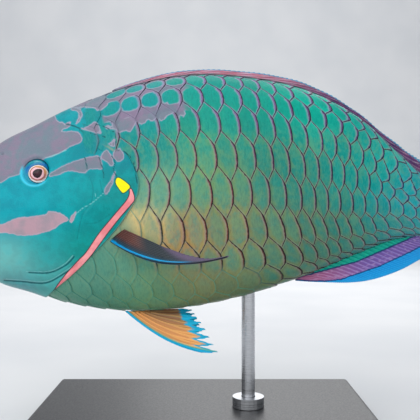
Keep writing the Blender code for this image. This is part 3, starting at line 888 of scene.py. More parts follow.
def marked_colour(f, ground, paint):
    """Lays the fish's markings over a ground colour, the same on skin and scales."""
    place = f.place()
    wobble = f.wander(420, 2.2, roughness=0.6)
    grain = f.noise(place, 1500, 4, 0.7)
    cloud = f.noise(place, 90, 3, 0.55)
    mauve = f.mix(f.rise(cloud, 0.40, 0.62), paint.mauve, paint.lilac)
    mauve = f.mix(f.rise(f.noise(place, 240, 3), 0.45, 0.70, 0.0, 0.55), mauve, rgb(104, 134, 142))
    mauve = f.mix(f.rise(grain, 0.50, 0.78, 0.0, 0.25), mauve, rgb(160, 160, 172))
    pink = f.mix(f.rise(cloud, 0.42, 0.62), paint.cheek_pink, rgb(166, 150, 160))
    # Each marking has a faint halo outside and a pale line just inside its edge.
    colour = ground
    for name, tint, rim in (("mauve", mauve, rgb(84, 168, 190)), ("cheek", pink, rgb(84, 170, 186))):
        depth = f.plus(f.attribute(name), wobble)
        colour = f.mix(f.rise(depth, -1.2, -0.3, 0.0, 0.28), colour, rim)
        colour = f.mix(f.rise(depth, -0.30, 0.30), colour, tint)
        edge = f.math("ABSOLUTE", f.minus(depth, 0.55))
        colour = f.mix(f.rise(edge, 0.15, 0.75, 0.50, 0.0), colour, rgb(176, 176, 196))
    # Thin seams: faint, dark and pale; the dark ones under the chin's folds are painted shadow.
    small = f.times(wobble, 0.25)
    faint = f.plus(f.attribute("faint_seam"), small)
    colour = f.mix(f.rise(faint, 0.2, 1.1, 0.40, 0.0), colour, rgb(0, 104, 110))
    dark = f.plus(f.attribute("dark_seam_and_fold_shadow"), small)
    colour = f.mix(f.rise(dark, 0.35, 1.1, 0.85, 0.0), colour, rgb(0, 84, 92))
    pale = f.plus(f.attribute("pale_seam"), small)
    colour = f.mix(f.rise(pale, 0.2, 0.9, 0.7, 0.0), colour, paint.pale_line)
    return colour, wobble, grain, cloud


def skin_finish():
    """Wet, smooth skin with the head's markings; lips, mouth lining and the rims of the eyes, with painted
    shade in their grooves.
    """
    paint = colours()
    f = Finish("Painted skin", 0.32, Coat_Weight=0.05, Coat_Roughness=0.10, Specular_IOR_Level=0.12)
    ground = f.attribute("tint", "Color")
    patchy = f.noise(f.place(), 130, 4, 0.6)
    ground = f.mix(f.rise(patchy, 0.38, 0.66, 0.0, 0.30), ground, rgb(0, 176, 186))
    ground = f.mix(f.rise(patchy, 0.58, 0.36, 0.0, 0.22), ground, rgb(0, 118, 136))
    colour, wobble, grain, cloud = marked_colour(f, ground, paint)
    colour = f.mix(f.rise(grain, 0.60, 0.85, 0.0, 0.12), colour, rgb(70, 190, 188))
    # The coral band on the gill cover and the yellow spot over it, each with a dark edge.
    coral = f.plus(f.attribute("coral"), f.times(wobble, 0.15))
    colour = f.mix(f.times(f.rise(coral, -1.2, -0.5), f.attribute("cover")), colour, rgb(66, 20, 40))
    worn = f.mix(f.rise(cloud, 0.40, 0.62), paint.coral, rgb(236, 134, 140))
    colour = f.mix(f.times(f.rise(coral, -0.30, 0.25), f.attribute("cover")), colour, worn)
    spot = f.plus(f.attribute("spot"), f.times(wobble, 0.3))
    colour = f.mix(f.rise(spot, -1.5, -0.4), colour, rgb(0, 84, 70))
    colour = f.mix(f.rise(spot, -0.4, 0.2), colour, paint.signal_yellow)
    # Bright blue below and before the eye, and a dark line round its rim: painted shade in the orbit's
    # groove, strongest above.
    near_eye = f.attribute("from_eye")
    below = f.attribute("eye_low")
    ring = f.times(f.rise(near_eye, 8.1, 9.2, 1.0, 0.0), f.rise(below, -0.1, 0.7))
    colour = f.mix(ring, colour, rgb(66, 206, 232))
    upper = f.rise(below, 0.5, -0.5, 0.25, 0.95)
    colour = f.mix(f.times(f.rise(near_eye, 7.45, 7.85, 1.0, 0.0), upper), colour, rgb(0, 62, 84))
    colour = f.mix(f.attribute("mouth"), colour, rgb(120, 62, 70))
    f.colour(colour)
    f.roughness(f.rise(grain, 0.3, 0.8, 0.26, 0.40))
    pits = f.cells(f.place(), 900)
    f.bump(f.plus(f.times(grain, 0.5), f.times(pits, 0.5)), 0.00020, 0.45)
    return f.material


# The lattice of scales. Columns are counted from the gill cover to the tail, and rows down from the
# back; MID_ROW runs along the middle of the flank. ROW_DRIFT moves the rows down, in degrees, by place,
# and ROW_SHIFT is how far each row lies in front of the one above it, in columns.
MID_ROW = 4
MID_ROW_DEGREES = 92.0
ROW_DEGREES = 17.8
ROW_DRIFT = smooth_curve(((0.10, -4), (0.36, -1.8), (0.45, 0.8), (0.51, 2), (0.57, 7), (0.62, 10), (0.68, 14),
                          (0.74, 16), (0.83, 20), (1.00, 22)))
ROW_SHIFT = 0.23
COLUMN_PLACE = smooth_curve(((-9, 0.050), (-4, 0.205), (0, 0.331), (4, 0.455), (8, 0.562), (12, 0.660),
                             (15, 0.745), (17, 0.820), (20, 0.915), (24, 1.020), (26, 1.070)))
# A scale in units of the lattice: how its free edge leans, how far it reaches under the scales in front,
# how far its corners tuck under its neighbours, and the length over which it climbs.
SCALE_LEAN = 0.12
SCALE_OVERLAP = 1.5
TUCK = 0.28
SCALE_CLIMB = 2.6


def lattice(column, row):
    """Place and angle (degrees from the back) of a point of the lattice."""
    # Towards the tail, the rows near the back and the belly run ahead. At the shoulder, row 3 does.
    climb = np.clip(3.6 - row, 0, 3.4)
    fall = np.clip(row - 4.75, 0, 3.0)
    shift = (0.21 * climb**1.7 - 0.15) * ease(column, 7, 12) + 0.72 * fall * ease(column, 3, 9)
    shift = shift + 0.42 * hump(row - 3.1, 1.1) * (1 - ease(column, -0.5, 3.2))
    s = COLUMN_PLACE(column + shift)
    # Behind the back fin's middle the upper rows dip, and on the tail stalk all rows spread.
    row = row + 0.55 * ease(s, 0.675, 0.75) * hump(row - 1.9, 0.9)
    spread = 1 + 0.30 * ease(s, 0.80, 0.98)
    return s, MID_ROW_DEGREES + ROW_DRIFT(s) + ROW_DEGREES * spread * (row - MID_ROW)


def side_share(s, degrees):
    """How much of a scale's height its slanting sides take: more makes it a diamond."""
    high = ease(s, 0.62, 0.80) * (1 - ease(degrees, 75, 110))
    low = ease(s, 0.50, 0.70) * ease(degrees, 100, 130)
    front = 1 - ease(s, 0.42, 0.50)
    return 0.40 + 0.05 * front + 0.14 * high - 0.12 * low


def rounded(corners, bend=0.16, steps=4):
    """An outline with its corners rounded off."""
    line = []
    count = len(corners)
    for i in range(count):
        before, here, after = (np.array(corners[(i + k) % count]) for k in (-1, 0, 1))
        a = here + (before - here) * bend
        b = here + (after - here) * bend
        for k in range(steps + 1):
            t = k / steps
            line.append(a * (1 - t) ** 2 + here * 2 * t * (1 - t) + b * t * t)
    return np.array(line)


def evenly(outline, count):
    """A closed outline cut into points at even distances."""
    ring = np.vstack([outline, outline[:1]])
    lengths = np.concatenate([[0], np.cumsum(np.linalg.norm(np.diff(ring, axis=0), axis=1))])
    places = np.linspace(0, lengths[-1], count, endpoint=False)
    return np.stack([np.interp(places, lengths, ring[:, k]) for k in range(2)], -1)


# Points round one scale, its middle in lattice units from its free edge, and its rings of points as
# shares of the way from the middle to the edge.
SCALE_POINTS = 50
SCALE_MIDDLE = (-0.52, 0.0)
SCALE_RINGS = (0.0, 0.30, 0.55, 0.72, 0.83, 0.90, 0.95, 1.0)


def scale_shape(share, bow):
    """Outline of one scale in lattice units (columns, rows down), its free edge, and the edges of the
    scales in front of it, where it comes out from under them."""
    top = (1 - share) / 2
    reach = (1 + share) / 2
    low = (-0.29 - 0.35 * TUCK, reach + share * TUCK)
    high = (-0.71 - 0.65 * TUCK, -reach - share * TUCK)
    free = [low, (SCALE_LEAN / 2, top), (bow, 0.0), (-SCALE_LEAN / 2, -top), high]
    hidden = [(-1.05, -reach + 0.10), (-1.36, -0.35), (-SCALE_OVERLAP, 0.0), (-1.30, 0.36),
              (-0.75, reach - 0.04)]
    outline = evenly(rounded(free + hidden), SCALE_POINTS)
    edge = rounded(free)[3:-3]
    edge = np.vstack([[low], edge, [high]])
    front = np.array([(-0.71, -reach), (-1.06, -top), (-0.94, top), (-0.29, reach)])
    return outline, edge, front


# The hollow of a nape scale that holds its blue oval: how far it lies in front of the free edge, its
# half length and half height in lattice units, and how square it is.
OVAL_MIDDLE = 0.46
OVAL_HALF = (0.49, 0.37)
OVAL_POWER = 2.5


def one_scale(column, row, side, tilt):
    """Points and attributes of one scale. side is 1 on the left flank."""
    s0, degrees0 = lattice(column + ROW_SHIFT * (MID_ROW - row), row)
    share = side_share(s0, degrees0)
    bow = 0.045 + 0.05 * ease(row, 4, 5) * ease(s0, 0.45, 0.60)
    outline, edge, front = scale_shape(share, bow)
    middle = np.array(SCALE_MIDDLE)
    rings = np.array(SCALE_RINGS)
    local = middle + rings[1:, None, None] * (outline - middle)
    local = np.vstack([middle[None], local.reshape(-1, 2)])
    local_all = np.vstack([local, outline, middle[None]])
    cols = column + ROW_SHIFT * (MID_ROW - row) + local_all[:, 0]
    s, degrees = lattice(cols, row + local_all[:, 1])
    # The scale's length and height in mm, to measure distances from its edges.
    pitch = (COLUMN_PLACE(cols[0] + 0.5) - COLUMN_PLACE(cols[0] - 0.5)) * SL / MM
    top = back(s0) * SL
    bottom = belly(s0) * SL
    tall = abs(np.radians(lattice(cols[0], row + 0.5)[1] - lattice(cols[0], row - 0.5)[1]))
    here = np.radians(degrees0)
    tall *= np.hypot((top - bottom) / 2 * sin(here), half_width(s0) * SL * cos(here)) / MM
    metric = np.array([pitch, max(tall, 1.0)])
    rim = distance_to_line(*(local_all * metric).T, edge * metric)
    lead = distance_to_line(*(local_all * metric).T, front * metric)
    lx, ly = local_all.T
    # It climbs to its free edge, leans a little, and has a low rim and a low crown.
    rise = sizes().scale_rise
    out = -0.00012 + rise * lx / SCALE_CLIMB - 0.00011 * ly * 1.1
    inner = np.minimum(rim, lead)
    out += 0.00011 * hump(rim, 0.7) + 0.00012 * ease(inner, 0.6, 3.2)
    out += tilt * ly * 0.0001
    # Its underside lies below the skin, and on the nape it lies flatter.
    tops = len(local)
    out[tops:] = -sizes().coat_depth - 0.0004
    fade = np.maximum(ease(s0, 0.225, 0.31), ease(degrees0, 70, 84))
    out = np.where(np.arange(len(out)) < tops, 0.00006 + (out - 0.00006) * (0.22 + 0.78 * fade), out)
    angle = np.radians(degrees) * side
    points = raised(np.clip(s, 0.05, STALK_TIP_S - 0.004), angle, out)
    beside = np.abs((lx + OVAL_MIDDLE) / OVAL_HALF[0]) ** OVAL_POWER + np.abs(ly / OVAL_HALF[1]) ** OVAL_POWER
    return {
        "points": points, "s": s, "degrees": degrees, "rim": rim, "lead": lead,
        "oval": (1 - beside ** (1 / OVAL_POWER)) * 0.35 * pitch,
        "limb": ly / ((1 + share) / 2), "lie": np.stack([lx * pitch, ly * metric[1]], -1),
    }


def scale_faces():
    """Faces of one scale: its top in rings, a wall down its edge, and a fan below."""
    around = SCALE_POINTS
    rings = len(SCALE_RINGS) - 1
    faces = []
    for j in range(around):
        k = (j + 1) % around
        faces.append([0, 1 + k, 1 + j])
        for i in range(rings):
            a = 1 + i * around
            b = a + around
            faces.append([a + j, a + k, b + k, b + j])
    low = 1 + rings * around
    last = low + around
    for j in range(around):
        faces.append([last, low + j, low + (j + 1) % around])
    return faces


def scale_cells():
    """Column and row of every scale of one flank, front to back."""
    cells = []
    for row in range(-3, 11):
        for column in range(-9, 26):
            s, degrees = lattice(column + ROW_SHIFT * (MID_ROW - row), row)
            if not (-4 < degrees < 186) or s > 1.012:
                continue
            front, _ = coat_front(np.clip(degrees, 0, 180))
            if s < front + 0.010:
                continue
            cells.append((column, row))
    return cells


# Where one look of the scales gives way to the next, in photo pixels along the body or down it.
BODY_TINT_BEHIND = (108, 132)
BODY_TINT_BELOW = (178, 198)
NAPE_FRONT = (98, 110)
NAPE_REAR = (158, 204)
NAPE_BELOW = (116, 132)
BACK_BELOW = (108, 150)
PLAIN_REAR = (122, 146)
PLAIN_STEP = 32
PLAIN_STEP_BELOW = (110, 126)
BELLY_BELOW = (262, 276)
BELLY_REAR = (235, 300)
BREAST_REAR = (128, 156)
BREAST_BELOW = (196, 214)


def blended_tint(x, y):
    """Ground colour of the scales: the head's near the gill cover, the body's behind it."""
    share = np.maximum(ease(x, *BODY_TINT_BEHIND), ease(y, *BODY_TINT_BELOW))[:, None]
    return wash(x, y, HEAD_WASHES) * (1 - share) + wash(x, y, BODY_WASHES) * share


def quiet_zone(x, y):
    """Where the scales' dark edges give way to thin pale ones: breast, belly and over the pectoral fin."""
    belly_zone = ease(y, *BELLY_BELOW) * (1 - ease(x, *BELLY_REAR))
    breast = (1 - ease(x, *BREAST_REAR)) * ease(y, *BREAST_BELOW)
    return np.clip(np.maximum(belly_zone, breast), 0, 1)


# The scales' front mesh ends before this column.
REAR_COLUMN = 7


def build_scales(side, label, rng):
    """The scales of one flank, in two joined meshes: front and rear."""
    template = scale_faces()
    groups = {"front": [], "rear": []}
    for column, row in scale_cells():
        # Three draws for each scale, of which the last is spare.
        tilt, tone, _ = rng.uniform((-0.5, 0, 0), (0.5, 1, 1))
        made = one_scale(column, row, side, tilt)
        made["tone"] = tone
        made["cell"] = (column, row)
        groups["front" if column < REAR_COLUMN else "rear"].append(made)
    pieces = []
    for part, scales in groups.items():
        count = len(scales[0]["points"])
        faces = []
        for i in range(len(scales)):
            offset = i * count
            faces += [[v + offset for v in face] for face in template]
        if side < 0:
            faces = [face[::-1] for face in faces]
        names = ("points", "s", "degrees", "rim", "lead", "limb", "oval", "lie")
        whole = {name: np.concatenate([m[name] for m in scales]) for name in names}
        x, y = side_map(whole["s"], np.radians(np.clip(whole["degrees"], 0, 180)))
        attributes = {
            "tint": blended_tint(x, y),
            "rim_tint": wash(x, y, RIM_WASHES),
            "rim": whole["rim"],
            "lead": whole["lead"],
            "limb": whole["limb"],
            "oval": whole["oval"],
            "tone": np.repeat([m["tone"] for m in scales], count),
            "along": whole["lie"][:, 0],
            "across": whole["lie"][:, 1],
            "nape": (1 - ease(x, *NAPE_REAR)) * (1 - ease(y, *NAPE_BELOW)) * ease(x, *NAPE_FRONT),
            "high": 1 - ease(y, *BACK_BELOW),
            "plain": 1 - ease(x + PLAIN_STEP * ease(y, *PLAIN_STEP_BELOW), *PLAIN_REAR),
            "quiet": quiet_zone(x, y),
            **markings(x, y),
        }
        name = f"scales_{label}_{part}"
        pieces.append(make_mesh(name, whole["points"], faces, attributes, scale_map(scales), sharp=48))
    return pieces


# The bake map's grid of cells, one for each scale: columns and rows, and where the lattice starts in it.
MAP_COLUMNS = 37
MAP_ROWS = 16
MAP_START = (10, 4)


def scale_map(scales):
    """Each scale has a patch of the bake map at its place in the lattice, clear of its neighbours."""
    uv = []
    for m in scales:
        column, row = m["cell"]
        lie = m["lie"]
        size = np.ptp(lie, axis=0)
        share = (lie - lie.min(0)) / size
        u = (column + MAP_START[0] + 0.04 + 0.90 * share[:, 0]) / MAP_COLUMNS
        v = (row + MAP_START[1] + 0.05 + 0.90 * share[:, 1]) / MAP_ROWS
        uv.append(np.stack([u, v], -1))
    return np.vstack(uv)


def scale_finish():
    """Scales: turquoise middles, greener sides, a maroon band and a dark line at the free edge."""
    paint = colours()
    f = Finish("Painted scales", 0.34, Coat_Weight=0.05, Coat_Roughness=0.12, Specular_IOR_Level=0.12)
    place = f.place()
    rim = f.attribute("rim")
    lead = f.attribute("lead")
    quiet = f.attribute("quiet")
    plain = f.attribute("plain")
    nape = f.attribute("nape")
    high = f.attribute("high")
    # Where the free edge is boldly drawn: not on the breast, the temple or the mauve markings.
    hushed = f.math("MAXIMUM", plain, f.rise(f.attribute("mauve"), -0.6, 0.6, 0.0, 0.75))
    loud = f.minus(1.0, f.math("MAXIMUM", quiet, hushed), clamp=True)
    upright = f.rise(f.math("ABSOLUTE", f.attribute("limb")), 0.36, 0.60, 1.0, 0.0)
    wander = f.wander(520, 0.8, detail=2)
    edge = f.plus(rim, wander)
    # Clouds and streaks that run along each scale and differ from scale to scale.
    joined = f.add("ShaderNodeCombineXYZ")
    f.feed(joined.inputs[0], f.attribute("along"))
    f.feed(joined.inputs[1], f.attribute("across"))
    f.feed(joined.inputs[2], f.times(f.attribute("tone"), 40.0))
    streaks = f.noise(f.scaled(joined.outputs[0], (1.1, 0.35, 1.0)), 1.0, 4, 0.65)
    clouds = f.noise(f.scaled(joined.outputs[0], (0.26, 0.20, 0.6)), 1.0, 3, 0.6)
    specks = f.noise(place, 1700, 3, 0.7)
    ground = f.attribute("tint", "Color")
    golden = f.times(f.rise(clouds, 0.42, 0.64, 0.0, 0.55), f.rise(high, 0.0, 0.8, 1.0, 0.0))
    golden = f.times(golden, f.rise(plain, 0.0, 0.6, 1.0, 0.0))
    colour = f.mix(golden, ground, f.mix(0.5, ground, rgb(140, 166, 84)))
    colour = f.mix(f.rise(clouds, 0.52, 0.34, 0.0, 0.60), colour, f.mix(0.6, ground, rgb(0, 146, 136)))
    # A turquoise core, light and dark streaks, specks, and each scale's own tone.
    inside = f.math("MINIMUM", rim, f.plus(lead, 0.5))
    core = f.rise(f.plus(inside, f.times(wander, 1.6)), 1.2, 3.6)
    colour = f.mix(f.times(core, 0.38), colour, rgb(0, 150, 138))
    colour = f.mix(f.rise(quiet, 0.3, 0.9, 0.0, 0.6), colour, ground)
    light = f.mix(0.5, ground, f.mix(high, rgb(120, 190, 140), rgb(0, 196, 160)))
    colour = f.mix(f.rise(streaks, 0.44, 0.72, 0.0, 0.30), colour, light)
    colour = f.mix(f.rise(streaks, 0.52, 0.30, 0.0, 0.36), colour, f.mix(0.6, ground, rgb(0, 96, 88)))
    colour = f.mix(f.rise(specks, 0.62, 0.80, 0.0, 0.18), colour, rgb(90, 200, 176))
    colour = f.mix(f.rise(f.attribute("tone"), 0.0, 1.0, 0.16, 0.0), colour, rgb(10, 96, 88))
    colour, _, _, cloud = marked_colour(f, colour, paint)
    # On the nape each scale is a blue oval in a mauve surround.
    surround = f.mix(f.rise(cloud, 0.42, 0.6), rgb(112, 122, 138), rgb(134, 120, 144))
    oval = f.plus(f.attribute("oval"), wander)
    around = f.times(f.rise(oval, -0.25, 0.25, 1.0, 0.0), f.rise(nape, 0.15, 0.5))
    colour = f.mix(around, colour, surround)
    halo = f.times(f.rise(f.math("ABSOLUTE", oval), 0.1, 0.5, 0.4, 0.0), f.rise(nape, 0.2, 0.6))
    halo = f.times(halo, f.rise(f.attribute("mauve"), -0.6, 0.4, 1.0, 0.0))
    colour = f.mix(halo, colour, rgb(166, 178, 196))
    # The free edge: a pale fringe, the coloured band, then a dark line. The veil lies along the scales in
    # front, and the last two are the thin lines of the breast and of the temple.
    thick = f.plus(0.42, f.times(upright, f.plus(0.50, f.times(high, 0.35))))
    thick = f.times(thick, sizes().rim_width / MM)
    past = f.minus(edge, thick)
    reach = f.plus(0.55, f.times(upright, 0.75))
    fringe = f.times(f.rise(f.math("DIVIDE", past, reach), 0.0, 1.0, 0.62, 0.0), loud)
    pale = f.mix(high, rgb(150, 136, 132), rgb(160, 146, 184))
    colour = f.mix(fringe, colour, pale)
    band = f.times(f.rise(past, -0.22, 0.16, 1.0, 0.0), loud)
    colour = f.mix(band, colour, f.attribute("rim_tint", "Color"))
    brink = f.minus(edge, f.times(upright, 0.16))
    ink = f.times(f.rise(brink, 0.18, 0.48, 0.95, 0.0), loud)
    colour = f.mix(ink, colour, paint.dark_line)
    veil = f.times(f.rise(lead, 0.25, 0.95, 0.55, 0.0), loud)
    colour = f.mix(veil, colour, f.mix(high, rgb(150, 164, 138), rgb(166, 168, 190)))
    soft = f.times(f.rise(edge, 0.2, 0.7, 0.55, 0.0), quiet)
    colour = f.mix(soft, colour, rgb(86, 168, 146))
    seam = f.times(f.rise(edge, 0.2, 0.6, 0.28, 0.0), plain)
    colour = f.mix(seam, colour, rgb(20, 92, 104))
    f.colour(colour)
    f.roughness(f.rise(specks, 0.3, 0.8, 0.26, 0.42))
    rings = f.math("SINE", f.times(rim, 9.0))
    relief = f.plus(f.times(streaks, 0.8), f.times(rings, 0.10))
    f.bump(f.plus(relief, f.times(specks, 0.4)), 0.00020, 0.5)
    return f.material


class PARROTFISH_OT_skin(bpy.types.Operator):
    """Builds the skin of head, gill covers, trunk and tail stalk"""
    bl_idname = "parrotfish.skin"
    bl_label = "Skin"

    def execute(self, context):
        skin = build_skin()
        nodes = ("head", "gill_cover_left", "gill_cover_right", "trunk", "tail_stalk")
        finished(skin, skin_finish(), nodes)
        return {"FINISHED"}


class PARROTFISH_OT_scales(bpy.types.Operator):
    """Builds the overlapping scales of both flanks"""
    bl_idname = "parrotfish.scales"
    bl_label = "Scales"

    def execute(self, context):
        finish = scale_finish()
        for side, label, seed in ((1, "left", 11), (-1, "right", 12)):
            for piece in build_scales(side, label, np.random.default_rng(seed)):
                finished(piece, finish)
        return {"FINISHED"}


# The iris sits low and to the rear in the eye, and the pupil off its middle: forward and up, in mm.
IRIS_OFFSET = (-1.6, -2.2)
PUPIL_OFFSET = (0.35, -0.15)
PUPIL_TILT = radians(30)
IRIS_BULGE = 0.00105


def eye_dome(side):
    """One eye: a flattened ball with a clear bulge over the iris, which sits low and to the rear."""
    centre, outward, forward, upward = eye_frame(side)
    count = 96
    turns = np.arange(count) / count * tau
    shares = np.concatenate([np.linspace(0.02, 0.66, 30), np.linspace(0.68, 1.0, 22) ** 0.8])
    shares = np.sort(shares)
    radius = EYE_RADIUS / MM
    cx, cy = IRIS_OFFSET
    ux = np.cos(turns)
    uy = np.sin(turns)
    dot = cx * ux + cy * uy
    reach = -dot + np.sqrt(dot**2 + radius**2 - cx**2 - cy**2)
    a = cx + shares[:, None] * reach * ux
    b = cy + shares[:, None] * reach * uy
    r = np.hypot(a, b) / radius
    tall = EYE_DEPTH_RADIUS * np.sqrt(np.clip(1 - r**2, 0, 1))
    from_iris = np.hypot((a - cx) / 1.04, (b - cy) / 0.98)
    tall += IRIS_BULGE * np.clip(1 - (from_iris / 5.2) ** 2, 0, 1) ** 0.8
    tall -= 0.00022 * hump(from_iris - 5.35, 0.35)
    front = centre + forward * a[..., None] * MM + upward * b[..., None] * MM + outward * tall[..., None]
    back_rows = 8
    k = (np.arange(back_rows) + 1) / (back_rows + 1)
    ba = radius * np.cos(k * pi / 2)[:, None] * (cx + reach * ux)[None] / radius
    bb = radius * np.cos(k * pi / 2)[:, None] * (cy + reach * uy)[None] / radius
    deep = -EYE_DEPTH_RADIUS * np.sin(k * pi / 2)[:, None] * np.ones(count)
    rear = centre + forward * ba[..., None] * MM + upward * bb[..., None] * MM + outward * deep[..., None]
    top = centre + forward * cx * MM + upward * cy * MM
    top = top + outward * (EYE_DEPTH_RADIUS * np.sqrt(1 - (np.hypot(cx, cy) / radius) ** 2) + IRIS_BULGE)
    points = np.vstack([top[None], front.reshape(-1, 3), rear.reshape(-1, 3),
                        (centre - outward * EYE_DEPTH_RADIUS)[None]])
    rows = len(shares) + back_rows
    faces = grid_faces(rows, count, wrap=True, start=1)
    last = 1 + rows * count
    faces += [[0, 1 + (j + 1) % count, 1 + j] for j in range(count)]
    faces += [[last, last - count + j, last - count + (j + 1) % count] for j in range(count)]
    flat_a = np.concatenate([[cx], a.ravel(), ba.ravel(), [0.0]])
    flat_b = np.concatenate([[cy], b.ravel(), bb.ravel(), [0.0]])
    iris = np.hypot((flat_a - cx) / 0.95, (flat_b - cy) / 0.86)
    px = -(flat_a - cx) - PUPIL_OFFSET[0]
    py = (flat_b - cy) - PUPIL_OFFSET[1]
    along = px * cos(PUPIL_TILT) + py * sin(PUPIL_TILT)
    across = -px * sin(PUPIL_TILT) + py * cos(PUPIL_TILT)
    pupil = np.hypot(along / 2.7, across / (2.1 - 0.18 * along)) * 2.3
    attributes = {"iris": iris, "pupil": pupil, "ahead": flat_a, "above": flat_b}
    return points, faces, attributes


def outward_faces(ob):
    """Turns a closed piece's faces outward."""
    bm = bmesh.new()
    bm.from_mesh(ob.data)
    bmesh.ops.recalc_face_normals(bm, faces=bm.faces)
    bm.to_mesh(ob.data)
    bm.free()
    return ob


def eye_finish():
    """Painted rings under a gloss coat: dark pupil with a painted glow of light low in its middle, pale and
    salmon rings, blue skin above.
    """
    paint = colours()
    f = Finish("Glass eye", 0.20, Coat_Weight=0.30, Coat_Roughness=0.05, Specular_IOR_Level=0.3)
    ahead = f.attribute("ahead")
    above = f.attribute("above")
    fuzz = f.wander(1400, 0.5, roughness=0.6)
    r = f.plus(f.attribute("iris"), fuzz)
    p = f.plus(f.attribute("pupil"), f.times(fuzz, 0.5))
    skin = f.ramp(f.plus(f.times(above, 0.062), 0.5), (
        (0.0, rgb(30, 168, 190)), (0.35, rgb(14, 150, 176)), (0.52, rgb(0, 118, 176)),
        (0.66, rgb(0, 104, 172)), (0.82, rgb(0, 146, 158)), (1.0, rgb(0, 138, 150))))
    skin = f.mix(f.times(f.rise(ahead, 3.4, 6.8), 0.7), skin, rgb(60, 178, 200))
    ringed = f.ramp(f.times(r, 1 / 6.4), (
        (0.0, paint.iris_salmon), (0.46, rgb(240, 184, 190)), (0.55, rgb(244, 200, 202)),
        (0.60, rgb(176, 100, 92)), (0.67, rgb(166, 92, 84)), (0.72, rgb(236, 206, 196)),
        (0.79, rgb(250, 248, 246)), (0.88, rgb(226, 236, 236))))
    upper_rear = f.minus(above, f.times(ahead, 1.1))
    golden = f.times(f.rise(upper_rear, 1.2, 4.4, 0.0, 0.85), f.rise(r, 4.6, 5.3, 1, 0))
    ringed = f.mix(golden, ringed, rgb(206, 148, 92))
    ringed = f.mix(f.rise(f.noise(f.place(), 2600, 2), 0.5, 0.8, 0, 0.35), ringed, rgb(150, 82, 78))
    colour = f.mix(f.rise(r, 5.15, 5.45), ringed, rgb(0, 66, 78))
    colour = f.mix(f.rise(r, 5.55, 6.0), colour, skin)
    colour = f.mix(f.rise(p, 2.75, 3.0, 1, 0), colour, rgb(252, 196, 206))
    colour = f.mix(f.rise(p, 2.25, 2.5, 1, 0), colour, rgb(20, 2, 12))
    # Painted glow of light inside the pupil, stronger low, in the maroon pupil colour.
    glow = f.times(f.rise(p, 0.6, 2.3, 1, 0), f.rise(above, -0.6, -2.6))
    colour = f.mix(glow, colour, paint.pupil)
    f.colour(colour)
    return f.material


class PARROTFISH_OT_eyes(bpy.types.Operator):
    """Builds both eyes"""
    bl_idname = "parrotfish.eyes"
    bl_label = "Eyes"

    def execute(self, context):
        finish = eye_finish()
        for side, label in ((1, "left"), (-1, "right")):
            eye = outward_faces(make_mesh(f"eye_dome_{label}", *eye_dome(side)))
            finished(eye, finish, (f"eye_{label}",))
        return {"FINISHED"}


# Size of one tooth of the beak's mosaic, in mm, and how much of the solid plate's width and height the
# toothed plate takes, to lie inside the lips.
TOOTH_WIDTH = 0.95
TOOTH_HEIGHT = 1.05
PLATE_WIDE = 0.90
PLATE_TALL = 0.84


def tooth_relief(distance, forward):
    """The beak's mosaic of small fused teeth: staggered rows of low domes, from 0 to 1."""
    v = forward / TOOTH_HEIGHT
    u = distance / TOOTH_WIDTH + 0.5 * np.mod(np.floor(v), 2)
    du = np.mod(u, 1) - 0.5
    dv = np.mod(v, 1) - 0.5
    return np.clip(1 - 2.1 * (du**2 + dv**2), 0, 1)


def build_beak(upper):
    """One beak plate: an arched wedge of fused teeth, hollow behind its biting edge."""
    sign = 1 if upper else -1
    reach = BEAK_LENGTH if upper else BEAK_LENGTH * LOWER_BEAK_REACH
    arc = 96
    flat = 32
    places = np.concatenate([np.linspace(-0.30, 0.55, 14), 1 - 0.45 * (1 - np.linspace(0.03, 1, 22)) ** 1.7])
    rings = []
    teeth = []
    for t in places:
        close = np.sqrt(np.clip(1 - (np.clip(t - 0.55, 0, None) / 0.452) ** 2, 0, 1)) ** 0.72
        wide = PLATE_WIDE * BEAK_HALF_WIDTH * (1 - 0.26 * max(t, 0) ** 2) * (0.50 + 0.50 * close)
        tall = PLATE_TALL * BEAK_HALF_HEIGHT * (1 - 0.42 * max(t, 0) ** 2) * (0.16 + 0.84 * close)
        a = np.linspace(0, pi, arc)
        bump = tooth_relief((a - pi / 2) * BEAK_HALF_WIDTH / MM, (1 - t) * reach / MM)
        seam = hump((a - pi / 2) * 9.2, 0.45)
        bump = bump * (1 - seam)
        swell = 0.00018 * bump - 0.0003 * seam
        u = (wide + swell) * np.cos(a)
        v = sign * (MOUTH_OPENING / 2 + (tall + swell) * np.sin(a) ** 0.9)
        q = np.linspace(0, 1, flat + 2)[1:-1]
        hollow = 0.0022 * np.sin(pi * q) ** 0.7 * close
        u = np.concatenate([u, -wide + 2 * wide * q])
        v = np.concatenate([v, sign * (MOUTH_OPENING / 2 + np.minimum(hollow, tall * 0.5))])
        s = SNOUT_S - (GAP + reach * t) / SL
        rings.append(at(s, u, MOUTH_HEIGHT * SL + v))
        teeth.append(np.concatenate([bump, np.zeros(flat)]))
    count = arc + flat
    middle = MOUTH_HEIGHT * SL + sign * (MOUTH_OPENING / 2 + 0.0008)
    tip = at(SNOUT_S - (GAP + reach * 1.004) / SL, 0.0, middle)
    root = at(SNOUT_S - (GAP - reach * 0.30) / SL, 0.0, MOUTH_HEIGHT * SL + sign * BEAK_HALF_HEIGHT / 4)
    points = np.vstack([root[None], np.array(rings).reshape(-1, 3), tip[None]])
    faces = grid_faces(len(rings), count, wrap=True, start=1)
    last = 1 + len(rings) * count
    faces += [[0, 1 + (j + 1) % count, 1 + j] for j in range(count)]
    faces += [[last, last - count + j, last - count + (j + 1) % count] for j in range(count)]
    tooth = np.concatenate([[0.0], np.array(teeth).ravel(), [0.0]])
    forward = np.concatenate([[0.0], np.repeat(places, count), [1.0]])
    return outward_faces(make_mesh("beak_plate_" + ("upper" if upper else "lower"), points, faces,
                                   {"tooth": tooth, "forward": forward}, sharp=60))


